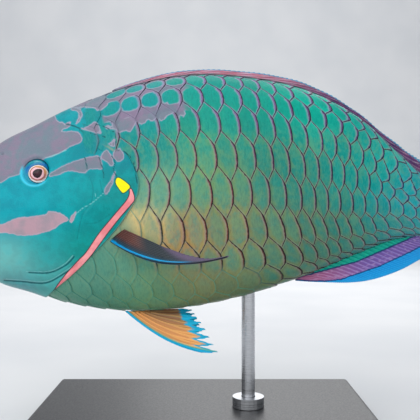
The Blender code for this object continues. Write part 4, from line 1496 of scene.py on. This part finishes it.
def beak_finish():
    """Ivory teeth with a green-blue stain near the lips, and painted shade in the gaps between the teeth."""
    paint = colours()
    f = Finish("Fused teeth", 0.28, Coat_Weight=0.5, Coat_Roughness=0.1)
    stain = f.noise(f.place(), 260, 3)
    colour = f.mix(f.rise(f.attribute("forward"), 0.85, 0.15), paint.beak_ivory, rgb(112, 182, 172))
    colour = f.mix(f.rise(stain, 0.45, 0.75, 0, 0.5), colour, rgb(176, 196, 168))
    # Painted shade in the gaps between the teeth and along the middle seam, where the tooth relief is low.
    colour = f.mix(f.rise(f.attribute("tooth"), 0.0, 0.35, 0.55, 0.0), colour, rgb(96, 128, 112))
    f.colour(colour)
    f.bump(stain, 0.0001, 0.4)
    return f.material


class PARROTFISH_OT_beak(bpy.types.Operator):
    """Builds the upper and lower beak plates"""
    bl_idname = "parrotfish.beak"
    bl_label = "Beak"

    def execute(self, context):
        finish = beak_finish()
        for upper, node in ((True, "beak_upper"), (False, "beak_lower")):
            finished(build_beak(upper), finish, (node,))
        return {"FINISHED"}


def ray_ridges(ray, outward, fork=0.38, second_fork=0.72, width=0.17):
    """Height of the branching fin rays, 0 to 1. ray counts rays across the fin, outward runs 0 to 1."""
    first = 0.25 * ease(outward, fork, fork + 0.35)
    second = 0.125 * ease(outward, second_fork, second_fork + 0.25)
    thin = width * (1 - 0.45 * ease(outward, fork, 1.0))
    local = np.mod(ray, 1) - 0.5
    ridge = np.zeros(np.broadcast(ray, outward).shape)
    for a in (-1, 1):
        for b in (-1, 1):
            offset = local - a * first - b * second
            offset = offset - np.round(offset)
            ridge = np.maximum(ridge, np.exp(-((offset / thin) ** 2)))
    return ridge


def fin_sheet(name, middle, thickness, attributes):
    """A closed fin from its middle surface (rows x columns) and its thickness at each point."""
    rows, columns, _ = middle.shape
    normal = unit(np.cross(np.gradient(middle, axis=0), np.gradient(middle, axis=1)))
    half = thickness[..., None] / 2
    points = np.vstack([(middle + normal * half).reshape(-1, 3), (middle - normal * half).reshape(-1, 3)])
    faces = grid_faces(rows, columns) + grid_faces(rows, columns, flip=True, start=rows * columns)
    border = [(0, j) for j in range(columns)] + [(i, columns - 1) for i in range(1, rows)]
    border += [(rows - 1, j) for j in range(columns - 2, -1, -1)] + [(i, 0) for i in range(rows - 2, 0, -1)]
    loop = [i * columns + j for i, j in border]
    shift = rows * columns
    for a, b in zip(loop, loop[1:] + loop[:1]):
        faces.append([b, a, a + shift, b + shift])
    both = {key: np.tile(np.ravel(value), 2) for key, value in attributes.items()}
    return outward_faces(make_mesh(name, points, faces, both))


# Fins on the midline: place and height, as in the solids, shares of SL.
FIN_BASE_END = 0.872
DORSAL_HEIGHT = (
    (0.275, 0.002), (0.33, 0.0060), (0.45, 0.0085), (0.60, 0.0115), (0.74, 0.0120), (0.82, 0.020),
    (0.88, 0.025), (0.925, 0.014),
)
ANAL_DEPTH = (
    (0.585, 0.003), (0.63, 0.021), (0.69, 0.044), (0.75, 0.056), (0.80, 0.056), (0.86, 0.043),
    (0.90, 0.031), (0.935, 0.012),
)
# The folded back fin waves a little to either side, square to the body at its middle.
DORSAL_RAYS = 19
DORSAL_TURN = radians(25)
ANAL_RAYS = 24
FIN_GLOSS = {"Coat_Weight": 0.06, "Coat_Roughness": 0.15, "Specular_IOR_Level": 0.2}


def median_fin(heights, edge, sign, lean, columns, rows, slant, count, scallop):
    """Middle surface of a fin on the midline, with its rays: points, outward share and ray ridges."""
    height = smooth_curve(heights)
    start = heights[0][0]
    end = heights[-1][0]
    outward = np.concatenate([[-1.0, -0.5], np.linspace(0, 1, rows)])[:, None]
    t = np.linspace(0, 1, columns)[None, :]
    a = np.clip(outward, 0, 1)
    ray = count * (t - slant * (a - 1))
    ridge = ray_ridges(ray, a * np.ones_like(t), 0.45, 0.75)
    notch = 1 - scallop * (1 - ridge[-1:]) * ease(a, 0.5, 1.0)
    root = start + (FIN_BASE_END - start) * t
    tip = start + (end - start) * t
    s = root + (tip - root) * a * notch
    stand_off = GAP + height(tip) * SL * a * notch
    stand_off = np.where(outward < 0, 0.0026 * outward, stand_off)
    sway = lean * np.sin(pi * t) * a * SL
    points = at(s, sway, edge(s) * SL + sign * stand_off)
    return points, a + 0 * t, t + 0 * a, ridge


def build_dorsal_fin():
    """The folded back fin: nine spines and ten rays lying low along the back."""
    points, outward, along, ridge = median_fin(DORSAL_HEIGHT, back, 1, lean=0.0, columns=420, rows=18,
                                               slant=0.10, count=DORSAL_RAYS, scallop=0.10)
    wave = np.sin(along * DORSAL_RAYS * pi) * 0.0004 * outward
    points = points + wave[..., None] * np.array([-sin(DORSAL_TURN), cos(DORSAL_TURN), 0.0])
    thick = np.maximum(0.0022 * (1 - 0.45 * outward) * (0.55 + 0.45 * ridge), 0.0006)
    return fin_sheet("dorsal_rays", points, thick, {"outward": outward, "along": along, "ridge": ridge})


def dorsal_finish():
    """Salmon rays with crimson folds, a blue edge, violet towards the rear, painted highlights on the rays'
    crests and painted shade at the root.
    """
    paint = colours()
    f = Finish("Salmon fin", 0.38, **FIN_GLOSS)
    outward = f.attribute("outward")
    ridge = f.attribute("ridge")
    along = f.attribute("along")
    cloud = f.noise(f.place(), 150, 3)
    front = f.mix(f.rise(along, 0.0, 0.12, 0.9, 0.0), paint.fin_salmon, rgb(176, 172, 200))
    front = f.mix(f.rise(cloud, 0.40, 0.62, 0.0, 0.7), front, rgb(196, 168, 190))
    rear = f.mix(f.rise(cloud, 0.4, 0.65), rgb(86, 60, 110), rgb(128, 84, 124))
    colour = f.mix(f.rise(along, 0.38, 0.64), front, rear)
    groove = f.times(f.rise(ridge, 0.05, 0.40, 0.62, 0.0), f.rise(outward, 0.2, 0.4))
    colour = f.mix(groove, colour, f.mix(f.rise(along, 0.35, 0.65), rgb(186, 70, 104), rgb(84, 36, 92)))
    # Painted highlight along the crests of the rays.
    colour = f.mix(f.rise(ridge, 0.75, 1.0, 0.0, 0.45), colour, rgb(226, 206, 216))
    colour = f.mix(f.rise(outward, 0.78, 0.92), colour, rgb(72, 158, 196))
    # A dark band at the fin's root: its sheath, darkened with painted shade where the fin meets the back.
    colour = f.mix(f.rise(outward, 0.0, 0.20, 0.85, 0.0), colour, rgb(14, 70, 70))
    f.colour(colour)
    f.bump(cloud, 0.0002, 0.5)
    return f.material


# Where the vent fin's navy seam and its blue margin begin, in photo pixels from left to right.
ANAL_NAVY = ((296, 277.5), (312, 273.8), (356, 262), (404, 241), (424, 231), (450, 216))
ANAL_BLUE = ((296, 280.5), (310, 281.6), (325, 281.6), (340, 280.2), (356, 274.8), (380, 266.5), (396, 259),
             (410, 252.5), (426, 244), (452, 228))


def below_line(x, y, line):
    """Signed distance in pixels from a line that runs left to right, above 0 below it."""
    xs, ys = np.array(line).T
    slope = np.gradient(ys, xs)
    return (y - np.interp(x, xs, ys)) / np.hypot(1, np.interp(x, xs, slope))


def build_anal_fin():
    """The fin behind the vent, spread: its branched rays give the ridges."""
    points, outward, along, ridge = median_fin(ANAL_DEPTH, belly, -1, lean=0.012, columns=340, rows=56,
                                               slant=0.18, count=ANAL_RAYS, scallop=0.035)
    x, y = photo_pixel(points)
    thick = np.maximum(0.0017 * (1 - 0.55 * outward) * (0.50 + 0.50 * ridge), 0.0005)
    bands = {"along": along, "ridge": ridge,
             "past_navy": below_line(x, y, ANAL_NAVY), "past_blue": below_line(x, y, ANAL_BLUE)}
    return fin_sheet("anal_rays", points, thick, bands)


def anal_finish():
    """Green at the base, rayed violet in the middle, a bright blue margin, navy seams between."""
    paint = colours()
    f = Finish("Violet fin", 0.38, **FIN_GLOSS)
    wobble = f.wander(500, 1.6)
    navy = f.plus(f.attribute("past_navy"), wobble)
    blue = f.plus(f.attribute("past_blue"), wobble)
    ridge = f.attribute("ridge")
    along = f.attribute("along")
    streak = f.noise(f.scaled(f.place(), (260, 260, 900)), 1.0, 3)
    violet = f.mix(f.rise(along, 0.05, 0.5), rgb(196, 116, 148), paint.fin_violet)
    violet = f.mix(f.rise(ridge, 0.45, 0.9, 0.0, 0.40), violet, rgb(186, 156, 214))
    violet = f.mix(f.rise(ridge, 0.05, 0.4, 0.35, 0.0), violet, rgb(116, 50, 126))
    violet = f.mix(f.rise(streak, 0.5, 0.75, 0.0, 0.5), violet, rgb(206, 178, 222))
    cloud = f.noise(f.place(), 300, 3)
    colour = f.mix(f.rise(cloud, 0.4, 0.7, 0, 0.4), paint.fin_green, rgb(0, 200, 140))
    colour = f.mix(f.rise(navy, -1.2, -0.4), colour, rgb(0, 62, 112))
    colour = f.mix(f.rise(navy, 0.2, 1.0), colour, violet)
    colour = f.mix(f.rise(blue, -1.6, -0.9), colour, rgb(0, 64, 130))
    margin = f.mix(f.rise(ridge, 0.2, 0.8, 0.0, 0.4), paint.fin_blue, rgb(50, 190, 250))
    colour = f.mix(f.rise(blue, -0.4, 0.4), colour, margin)
    f.colour(colour)
    f.grain()
    return f.material


class PARROTFISH_OT_midline_fins(bpy.types.Operator):
    """Builds the back fin and the fin behind the vent"""
    bl_idname = "parrotfish.midline_fins"
    bl_label = "Back fin and vent fin"

    def execute(self, context):
        finished(build_dorsal_fin(), dorsal_finish(), ("dorsal_fin",))
        finished(build_anal_fin(), anal_finish(), ("anal_fin",))
        return {"FINISHED"}


# The tail fin, as in the solids, shares of SL: half heights at its base and at its lobes' tips, how far
# it reaches in the middle and at the lobes, and how far its middle cups to one side.
TAIL_RAYS = 15
TAIL_BASE_HALF = 0.058
TAIL_LOBE_HALF = 0.172
TAIL_MIDDLE_REACH = 0.128
TAIL_LOBE_REACH = 0.252
TAIL_CUP = 0.010


def build_tail_fin():
    """The crescent tail: branching rays fan from the stalk to a hollow edge between two lobes."""
    columns = 361
    rows = 92
    middle = (back(1.0) + belly(1.0)) / 2
    u = np.linspace(-1, 1, columns)[None, :]
    out = np.concatenate([[-0.12, -0.06], np.linspace(0, 1, rows)])[:, None]
    along = np.clip(out, 0, 1)
    ray = (u + 1) / 2 * TAIL_RAYS
    ridge = ray_ridges(ray, along * np.ones_like(u), 0.22, 0.5, 0.15)
    notch = 1 - 0.022 * (1 - ridge[-1:]) * ease(along, 0.6, 1.0) * (1 - ease(np.abs(u), 0.75, 0.95))
    reach = (TAIL_MIDDLE_REACH + (TAIL_LOBE_REACH - TAIL_MIDDLE_REACH) * np.abs(u) ** 3.2) * notch
    spread = TAIL_BASE_HALF * u + (TAIL_LOBE_HALF - TAIL_BASE_HALF) * u * along**0.8
    spread = np.where(out < 0, TAIL_BASE_HALF * u * 0.9, spread)
    s = 1.0 + GAP / SL + np.where(out < 0, out * 0.25, reach * along)
    cup = TAIL_CUP * along * along * (1 - 0.6 * u * u)
    wave = 0.0006 * np.sin(ray * pi) * along
    points = at(s, -cup * SL + wave, (middle + spread) * SL)
    root = 0.0030 * (1 - along) ** 1.5 * (1 - 0.5 * u * u)
    thick = np.maximum(root + 0.0011 * (0.45 + 0.55 * ridge), 0.0005)
    edge = (1 - along) * reach * SL / MM
    side_edge = (1 - np.abs(u)) * (TAIL_BASE_HALF + (TAIL_LOBE_HALF - TAIL_BASE_HALF) * along) * SL / MM
    return fin_sheet("tail_rays", points, thick, {
        "across": u + 0 * along, "ridge": ridge,
        "from_edge": edge + 0 * u, "from_side": side_edge + 0 * along, "travel": reach * along * SL / MM})


def tail_finish():
    """Yellow bar at the base, teal middle, a salmon crescent, a thin blue rim and edged lobes."""
    paint = colours()
    f = Finish("Crescent tail", 0.38, **FIN_GLOSS)
    place = f.place()
    wobble = f.wander(220, 5.0, detail=4)
    travel = f.plus(f.attribute("travel"), wobble)
    edge = f.plus(f.attribute("from_edge"), f.times(wobble, 0.35))
    side = f.plus(f.attribute("from_side"), f.times(wobble, 0.2))
    ridge = f.attribute("ridge")
    across = f.math("ABSOLUTE", f.attribute("across"))
    teal = f.mix(f.rise(ridge, 0.2, 0.8), rgb(0, 106, 150), rgb(20, 168, 186))
    yellow = f.mix(f.rise(f.noise(place, 260, 3), 0.35, 0.7), rgb(246, 226, 40), rgb(236, 190, 30))
    colour = f.mix(f.rise(f.plus(travel, f.times(across, 5.0)), 9.0, 12.5), yellow, teal)
    salmon = f.mix(f.rise(edge, 5, 15), rgb(244, 176, 74), paint.fin_salmon)
    salmon = f.mix(f.rise(ridge, 0.15, 0.6, 0.5, 0.0), salmon, rgb(190, 74, 74))
    colour = f.mix(f.rise(edge, 15.0, 18.0, 1, 0), colour, salmon)
    colour = f.mix(f.rise(edge, 2.4, 3.4, 1, 0), colour, rgb(150, 60, 90))
    colour = f.mix(f.rise(edge, 1.7, 2.6, 1, 0), colour, rgb(60, 196, 226))
    lobe = f.rise(side, 7.4, 8.6, 1, 0)
    colour = f.mix(lobe, colour, rgb(222, 112, 132))
    colour = f.mix(f.rise(side, 3.2, 4.2, 1, 0), colour, paint.fin_blue)
    f.colour(colour)
    f.grain()
    return f.material


class PARROTFISH_OT_tail_fin(bpy.types.Operator):
    """Builds the tail fin"""
    bl_idname = "parrotfish.tail_fin"
    bl_label = "Tail fin"

    def execute(self, context):
        finished(build_tail_fin(), tail_finish(), ("tail_fin",))
        return {"FINISHED"}


# Paired fins, as in the solids: place, distance out from the middle plane and height (metres). The bow
# is how far a ray bends from a straight line, in the same three measures.
PECTORAL_ROOT = ((0.284, 0.0325, -0.0185), (0.303, 0.0335, -0.0110))
PECTORAL_TIPS = (
    (0.430, 0.078, -0.0222), (0.412, 0.066, -0.0245), (0.392, 0.052, -0.0240), (0.372, 0.040, -0.0222),
)
PECTORAL_BOW = (0.0, 0.004, -0.0065)
PELVIC_ROOT = ((0.305, 0.0090, -0.0606), (0.345, 0.0085, -0.0600))
PELVIC_TIPS = (
    (0.440, 0.023, -0.0815), (0.428, 0.022, -0.0735), (0.417, 0.018, -0.0655), (0.405, 0.013, -0.0600),
)
PELVIC_BOW = (0.0, 0.001, -0.0045)


def fan_fin(name, root, tips, bow, side, count, thickness, notch_depth, buried, ripple):
    """A paired fin: branching rays from a short root to a row of tips, scalloped between them."""
    columns = count * 20 + 1
    rows = 60
    t = np.linspace(0, 1, columns)[None, :]
    out = np.concatenate([[-buried, -buried / 2], np.linspace(0, 1, rows)])[:, None]
    a = np.clip(out, 0, 1)
    ray = t * count
    ridge = ray_ridges(ray, a * np.ones_like(t), 0.35, 0.68, 0.16)
    gap = (0.5 + 0.5 * np.cos(tau * ray)) ** 3
    notch = 1 - notch_depth * (0.35 * (1 - ridge[-1:]) + gap) * ease(a, 0.45, 1.0)
    travel = out * notch
    parts = []
    for k in range(3):
        tip = smooth_curve([(i / (len(tips) - 1), p[k]) for i, p in enumerate(tips)])(t)
        base = root[0][k] + (root[1][k] - root[0][k]) * t
        parts.append(base + (tip - base) * travel + bow[k] * (1 - t) * 4 * travel * (1 - travel))
    s, lateral, height = parts
    height = height + ripple * np.sin(ray * tau) * a
    points = at(s, lateral * side, height)
    thick = np.maximum(thickness * (1.6 - 0.9 * a) * (0.45 + 0.55 * ridge), 0.00048)
    return fin_sheet(name, points, thick, {"outward": a + 0 * t, "along": t + 0 * a, "ridge": ridge})


def pectoral_finish():
    """Dark, nearly black membranes with a bright blue line, a grey-violet tip and painted shade along the
    leading edge.
    """
    paint = colours()
    f = Finish("Dark fin", 0.34, Coat_Weight=0.10, Coat_Roughness=0.12, Specular_IOR_Level=0.25)
    outward = f.attribute("outward")
    along = f.attribute("along")
    ridge = f.attribute("ridge")
    wobble = f.wander(400, 0.05)
    base = f.mix(f.rise(ridge, 0.3, 0.9), rgb(84, 38, 32), rgb(138, 92, 76))
    base = f.mix(f.rise(along, 0.25, 0.6, 0.8, 0.0), base, rgb(10, 60, 74))
    colour = f.mix(f.rise(outward, 0.14, 0.42), base, paint.pectoral_dark)
    colour = f.mix(f.rise(along, 0.10, 0.40, 0.6, 0.0), colour, rgb(4, 84, 112))
    colour = f.mix(f.rise(outward, 0.64, 0.88), colour, rgb(96, 78, 108))
    colour = f.mix(f.rise(ridge, 0.65, 1.0, 0.0, 0.22), colour, rgb(96, 118, 138))
    line = f.math("ABSOLUTE", f.minus(f.plus(along, wobble), 0.10))
    shine = f.times(f.rise(line, 0.045, 0.075, 1, 0), f.rise(outward, 0.78, 0.66, 0, 1))
    colour = f.mix(shine, colour, rgb(6, 156, 214))
    # The darkest strip along the leading edge: painted shade on the fin's underside.
    colour = f.mix(f.rise(along, 0.0, 0.03, 1.0, 0.0), colour, rgb(12, 22, 34))
    f.colour(colour)
    f.grain()
    return f.material


def pelvic_finish():
    """Orange rays, brown towards the body, with a bright blue leading edge and tips."""
    paint = colours()
    f = Finish("Orange fin", 0.38, **FIN_GLOSS)
    outward = f.attribute("outward")
    along = f.attribute("along")
    ridge = f.attribute("ridge")
    wobble = f.wander(400, 0.10)
    orange = f.mix(f.rise(along, 0.35, 0.85), paint.pelvic_orange, rgb(140, 116, 84))
    orange = f.mix(f.rise(ridge, 0.5, 1.0, 0.0, 0.6), orange, rgb(240, 184, 110))
    orange = f.mix(f.rise(ridge, 0.0, 0.35, 0.4, 0.0), orange, rgb(160, 84, 52))
    tips = f.plus(f.plus(outward, wobble), f.rise(along, 0.25, 0.95, -0.04, 0.16))
    colour = f.mix(f.rise(tips, 0.80, 0.90), orange, rgb(8, 176, 216))
    edge = f.plus(along, f.times(wobble, 0.25))
    colour = f.mix(f.rise(edge, 0.10, 0.17, 1, 0), colour, rgb(96, 186, 160))
    colour = f.mix(f.rise(edge, 0.06, 0.11, 1, 0), colour, rgb(10, 176, 224))
    f.colour(colour)
    f.grain()
    return f.material


class PARROTFISH_OT_paired_fins(bpy.types.Operator):
    """Builds the pectoral and the pelvic fins"""
    bl_idname = "parrotfish.paired_fins"
    bl_label = "Paired fins"

    def execute(self, context):
        dark = pectoral_finish()
        orange = pelvic_finish()
        for side, label in ((1, "left"), (-1, "right")):
            fin = fan_fin(f"pectoral_rays_{label}", PECTORAL_ROOT, PECTORAL_TIPS, PECTORAL_BOW, side,
                          count=12, thickness=0.0011, notch_depth=0.03, buried=0.05, ripple=0.0002)
            finished(fin, dark, (f"pectoral_fin_{label}",))
            fin = fan_fin(f"pelvic_rays_{label}", PELVIC_ROOT, PELVIC_TIPS, PELVIC_BOW, side,
                          count=6, thickness=0.0012, notch_depth=0.15, buried=0.06, ripple=0.0004)
            finished(fin, orange, (f"pelvic_fin_{label}",))
        return {"FINISHED"}


class PARROTFISH_OT_stand(bpy.types.Operator):
    """Gives the display stand its satin black board and brushed steel"""
    bl_idname = "parrotfish.stand"
    bl_label = "Stand"

    def execute(self, context):
        black = Finish("Satin board", 0.42, Coat_Weight=0.15, Coat_Roughness=0.25)
        grain = black.noise(black.place(), 900, 4)
        black.colour(black.mix(black.rise(grain, 0.3, 0.7), rgb(30, 30, 32), rgb(38, 38, 40)))
        black.roughness(black.rise(grain, 0.3, 0.7, 0.38, 0.5))
        black.bump(grain, 0.00005, 0.4)
        steel = Finish("Brushed bar", 0.3, Metallic=1.0)
        brush = steel.noise(steel.scaled(steel.place(), (40.0, 40.0, 2500.0)), 1.0, 3)
        steel.colour(steel.mix(brush, rgb(176, 178, 182), rgb(206, 208, 212)))
        steel.roughness(steel.rise(brush, 0.3, 0.7, 0.24, 0.38))
        for node, finish in (("stand_base", black), ("stand_rod", steel), ("stand_collar", steel)):
            ob = bpy.data.objects[node]
            ob.data.materials.clear()
            ob.data.materials.append(finish.material)
        return {"FINISHED"}


# The floor's near edge, where it starts to curve up, the curve's radius, the wall's top and half the width.
FLOOR_NEAR = -1.6
FLOOR_FAR = 1.2
CURVE_RADIUS = 0.8
WALL_TOP = 3.0
FLOOR_HALF_WIDTH = 3.2

# Soft lights: name, place, the point it shines at, side in metres and power in watts.
MODEL_MIDDLE = (0.0, 0.0, 0.13)
WALL_POINT = (0.0, 2.0, 0.75)
LIGHTS = (
    ("Key light", (-0.50, -1.05, 1.00), MODEL_MIDDLE, 2.0, 19.0),
    ("Fill light", (0.80, -1.20, 0.35), MODEL_MIDDLE, 1.6, 5.5),
    ("Top light", (0.05, 0.25, 1.5), MODEL_MIDDLE, 1.6, 7.5),
    ("Back light", (0.2, 1.1, 0.7), MODEL_MIDDLE, 0.8, 3.5),
    ("Backdrop light", (0.0, 0.45, 1.5), WALL_POINT, 1.4, 13.0),
)


def stage_plane():
    """A plain pale floor that curves up behind the model."""
    points = []
    profile = [(FLOOR_NEAR, 0.0), (FLOOR_FAR, 0.0)]
    for i in range(1, 13):
        turn = pi / 2 * i / 12
        profile.append((FLOOR_FAR + CURVE_RADIUS * sin(turn), CURVE_RADIUS * (1 - cos(turn))))
    profile.append((FLOOR_FAR + CURVE_RADIUS, WALL_TOP))
    for y, z in profile:
        points += [(-FLOOR_HALF_WIDTH, y, z - 0.0001), (FLOOR_HALF_WIDTH, y, z - 0.0001)]
    faces = [[2 * i, 2 * i + 1, 2 * i + 3, 2 * i + 2] for i in range(len(profile) - 1)]
    return make_mesh("floor", points, faces)


def area_light(name, place, target, size, power):
    """A soft square light."""
    data = bpy.data.lights.new(name, "AREA")
    data.shape = "SQUARE"
    data.size = size
    data.energy = power
    ob = bpy.data.objects.new(name, data)
    bpy.context.scene.collection.objects.link(ob)
    ob.location = place
    ob.rotation_mode = "QUATERNION"
    ob.rotation_quaternion = (Vector(target) - Vector(place)).to_track_quat("-Z", "Y")


def studio_sky(scene):
    """Even pale light from all round, shown without a film curve."""
    world = bpy.data.worlds.new("Studio")
    scene.world = world
    world.use_nodes = True
    sky = world.node_tree.nodes["Background"]
    sky.inputs["Color"].default_value = (0.90, 0.94, 1.0, 1.0)
    sky.inputs["Strength"].default_value = 0.34
    scene.view_settings.view_transform = "Standard"


def photo_camera(scene):
    """A level camera with the photo's framing."""
    data = bpy.data.cameras.new("Camera")
    data.lens = CAMERA_LENS
    data.sensor_width = SENSOR
    data.clip_start = 0.01
    data.clip_end = 20
    camera = bpy.data.objects.new("Camera", data)
    scene.collection.objects.link(camera)
    camera.location = CAMERA_PLACE
    camera.rotation_euler = (pi / 2, 0.0, 0.0)
    scene.camera = camera


class PARROTFISH_OT_stage(bpy.types.Operator):
    """Sets the floor, the lights and the camera"""
    bl_idname = "parrotfish.stage"
    bl_label = "Floor, lights and camera"

    def execute(self, context):
        floor = stage_plane()
        f = Finish("Pale floor", 0.8)
        f.colour(f.mix(f.rise(f.noise(f.place(), 6, 2), 0.3, 0.7), rgb(208, 210, 213), rgb(216, 217, 219)))
        floor.data.materials.append(f.material)
        for light in LIGHTS:
            area_light(*light)
        studio_sky(context.scene)
        photo_camera(context.scene)
        return {"FINISHED"}


OPERATORS = (
    PARROTFISH_OT_skin,
    PARROTFISH_OT_scales,
    PARROTFISH_OT_eyes,
    PARROTFISH_OT_beak,
    PARROTFISH_OT_midline_fins,
    PARROTFISH_OT_tail_fin,
    PARROTFISH_OT_paired_fins,
    PARROTFISH_OT_stand,
    PARROTFISH_OT_stage,
)


class PARROTFISH_PT_panel(bpy.types.Panel):
    """Sizes, colours and the pieces of the model"""
    bl_idname = "PARROTFISH_PT_panel"
    bl_label = "Parrotfish model"
    bl_space_type = "VIEW_3D"
    bl_region_type = "UI"
    bl_category = "Parrotfish"

    def draw(self, context):
        layout = self.layout
        for group in (context.scene.parrotfish_sizes, context.scene.parrotfish_colours):
            column = layout.column()
            for name in group.__annotations__:
                column.prop(group, name)
        for operator in OPERATORS:
            layout.operator(operator.bl_idname)


CLASSES = (ParrotfishSizes, ParrotfishColours, *OPERATORS, PARROTFISH_PT_panel)


def register():
    """Adds the classes, and the sizes and colours to every scene."""
    for cls in CLASSES:
        bpy.utils.register_class(cls)
    bpy.types.Scene.parrotfish_sizes = PointerProperty(type=ParrotfishSizes)
    bpy.types.Scene.parrotfish_colours = PointerProperty(type=ParrotfishColours)


def unregister():
    """Takes the classes, sizes and colours away again."""
    del bpy.types.Scene.parrotfish_colours
    del bpy.types.Scene.parrotfish_sizes
    for cls in reversed(CLASSES):
        bpy.utils.unregister_class(cls)


def main():
    """Makes the stage and every piece."""
    register()
    bpy.ops.parrotfish.stage()
    bpy.ops.parrotfish.stand()
    bpy.ops.parrotfish.skin()
    bpy.ops.parrotfish.scales()
    bpy.ops.parrotfish.eyes()
    bpy.ops.parrotfish.beak()
    bpy.ops.parrotfish.midline_fins()
    bpy.ops.parrotfish.tail_fin()
    bpy.ops.parrotfish.paired_fins()


if __name__ == "__main__":
    main()
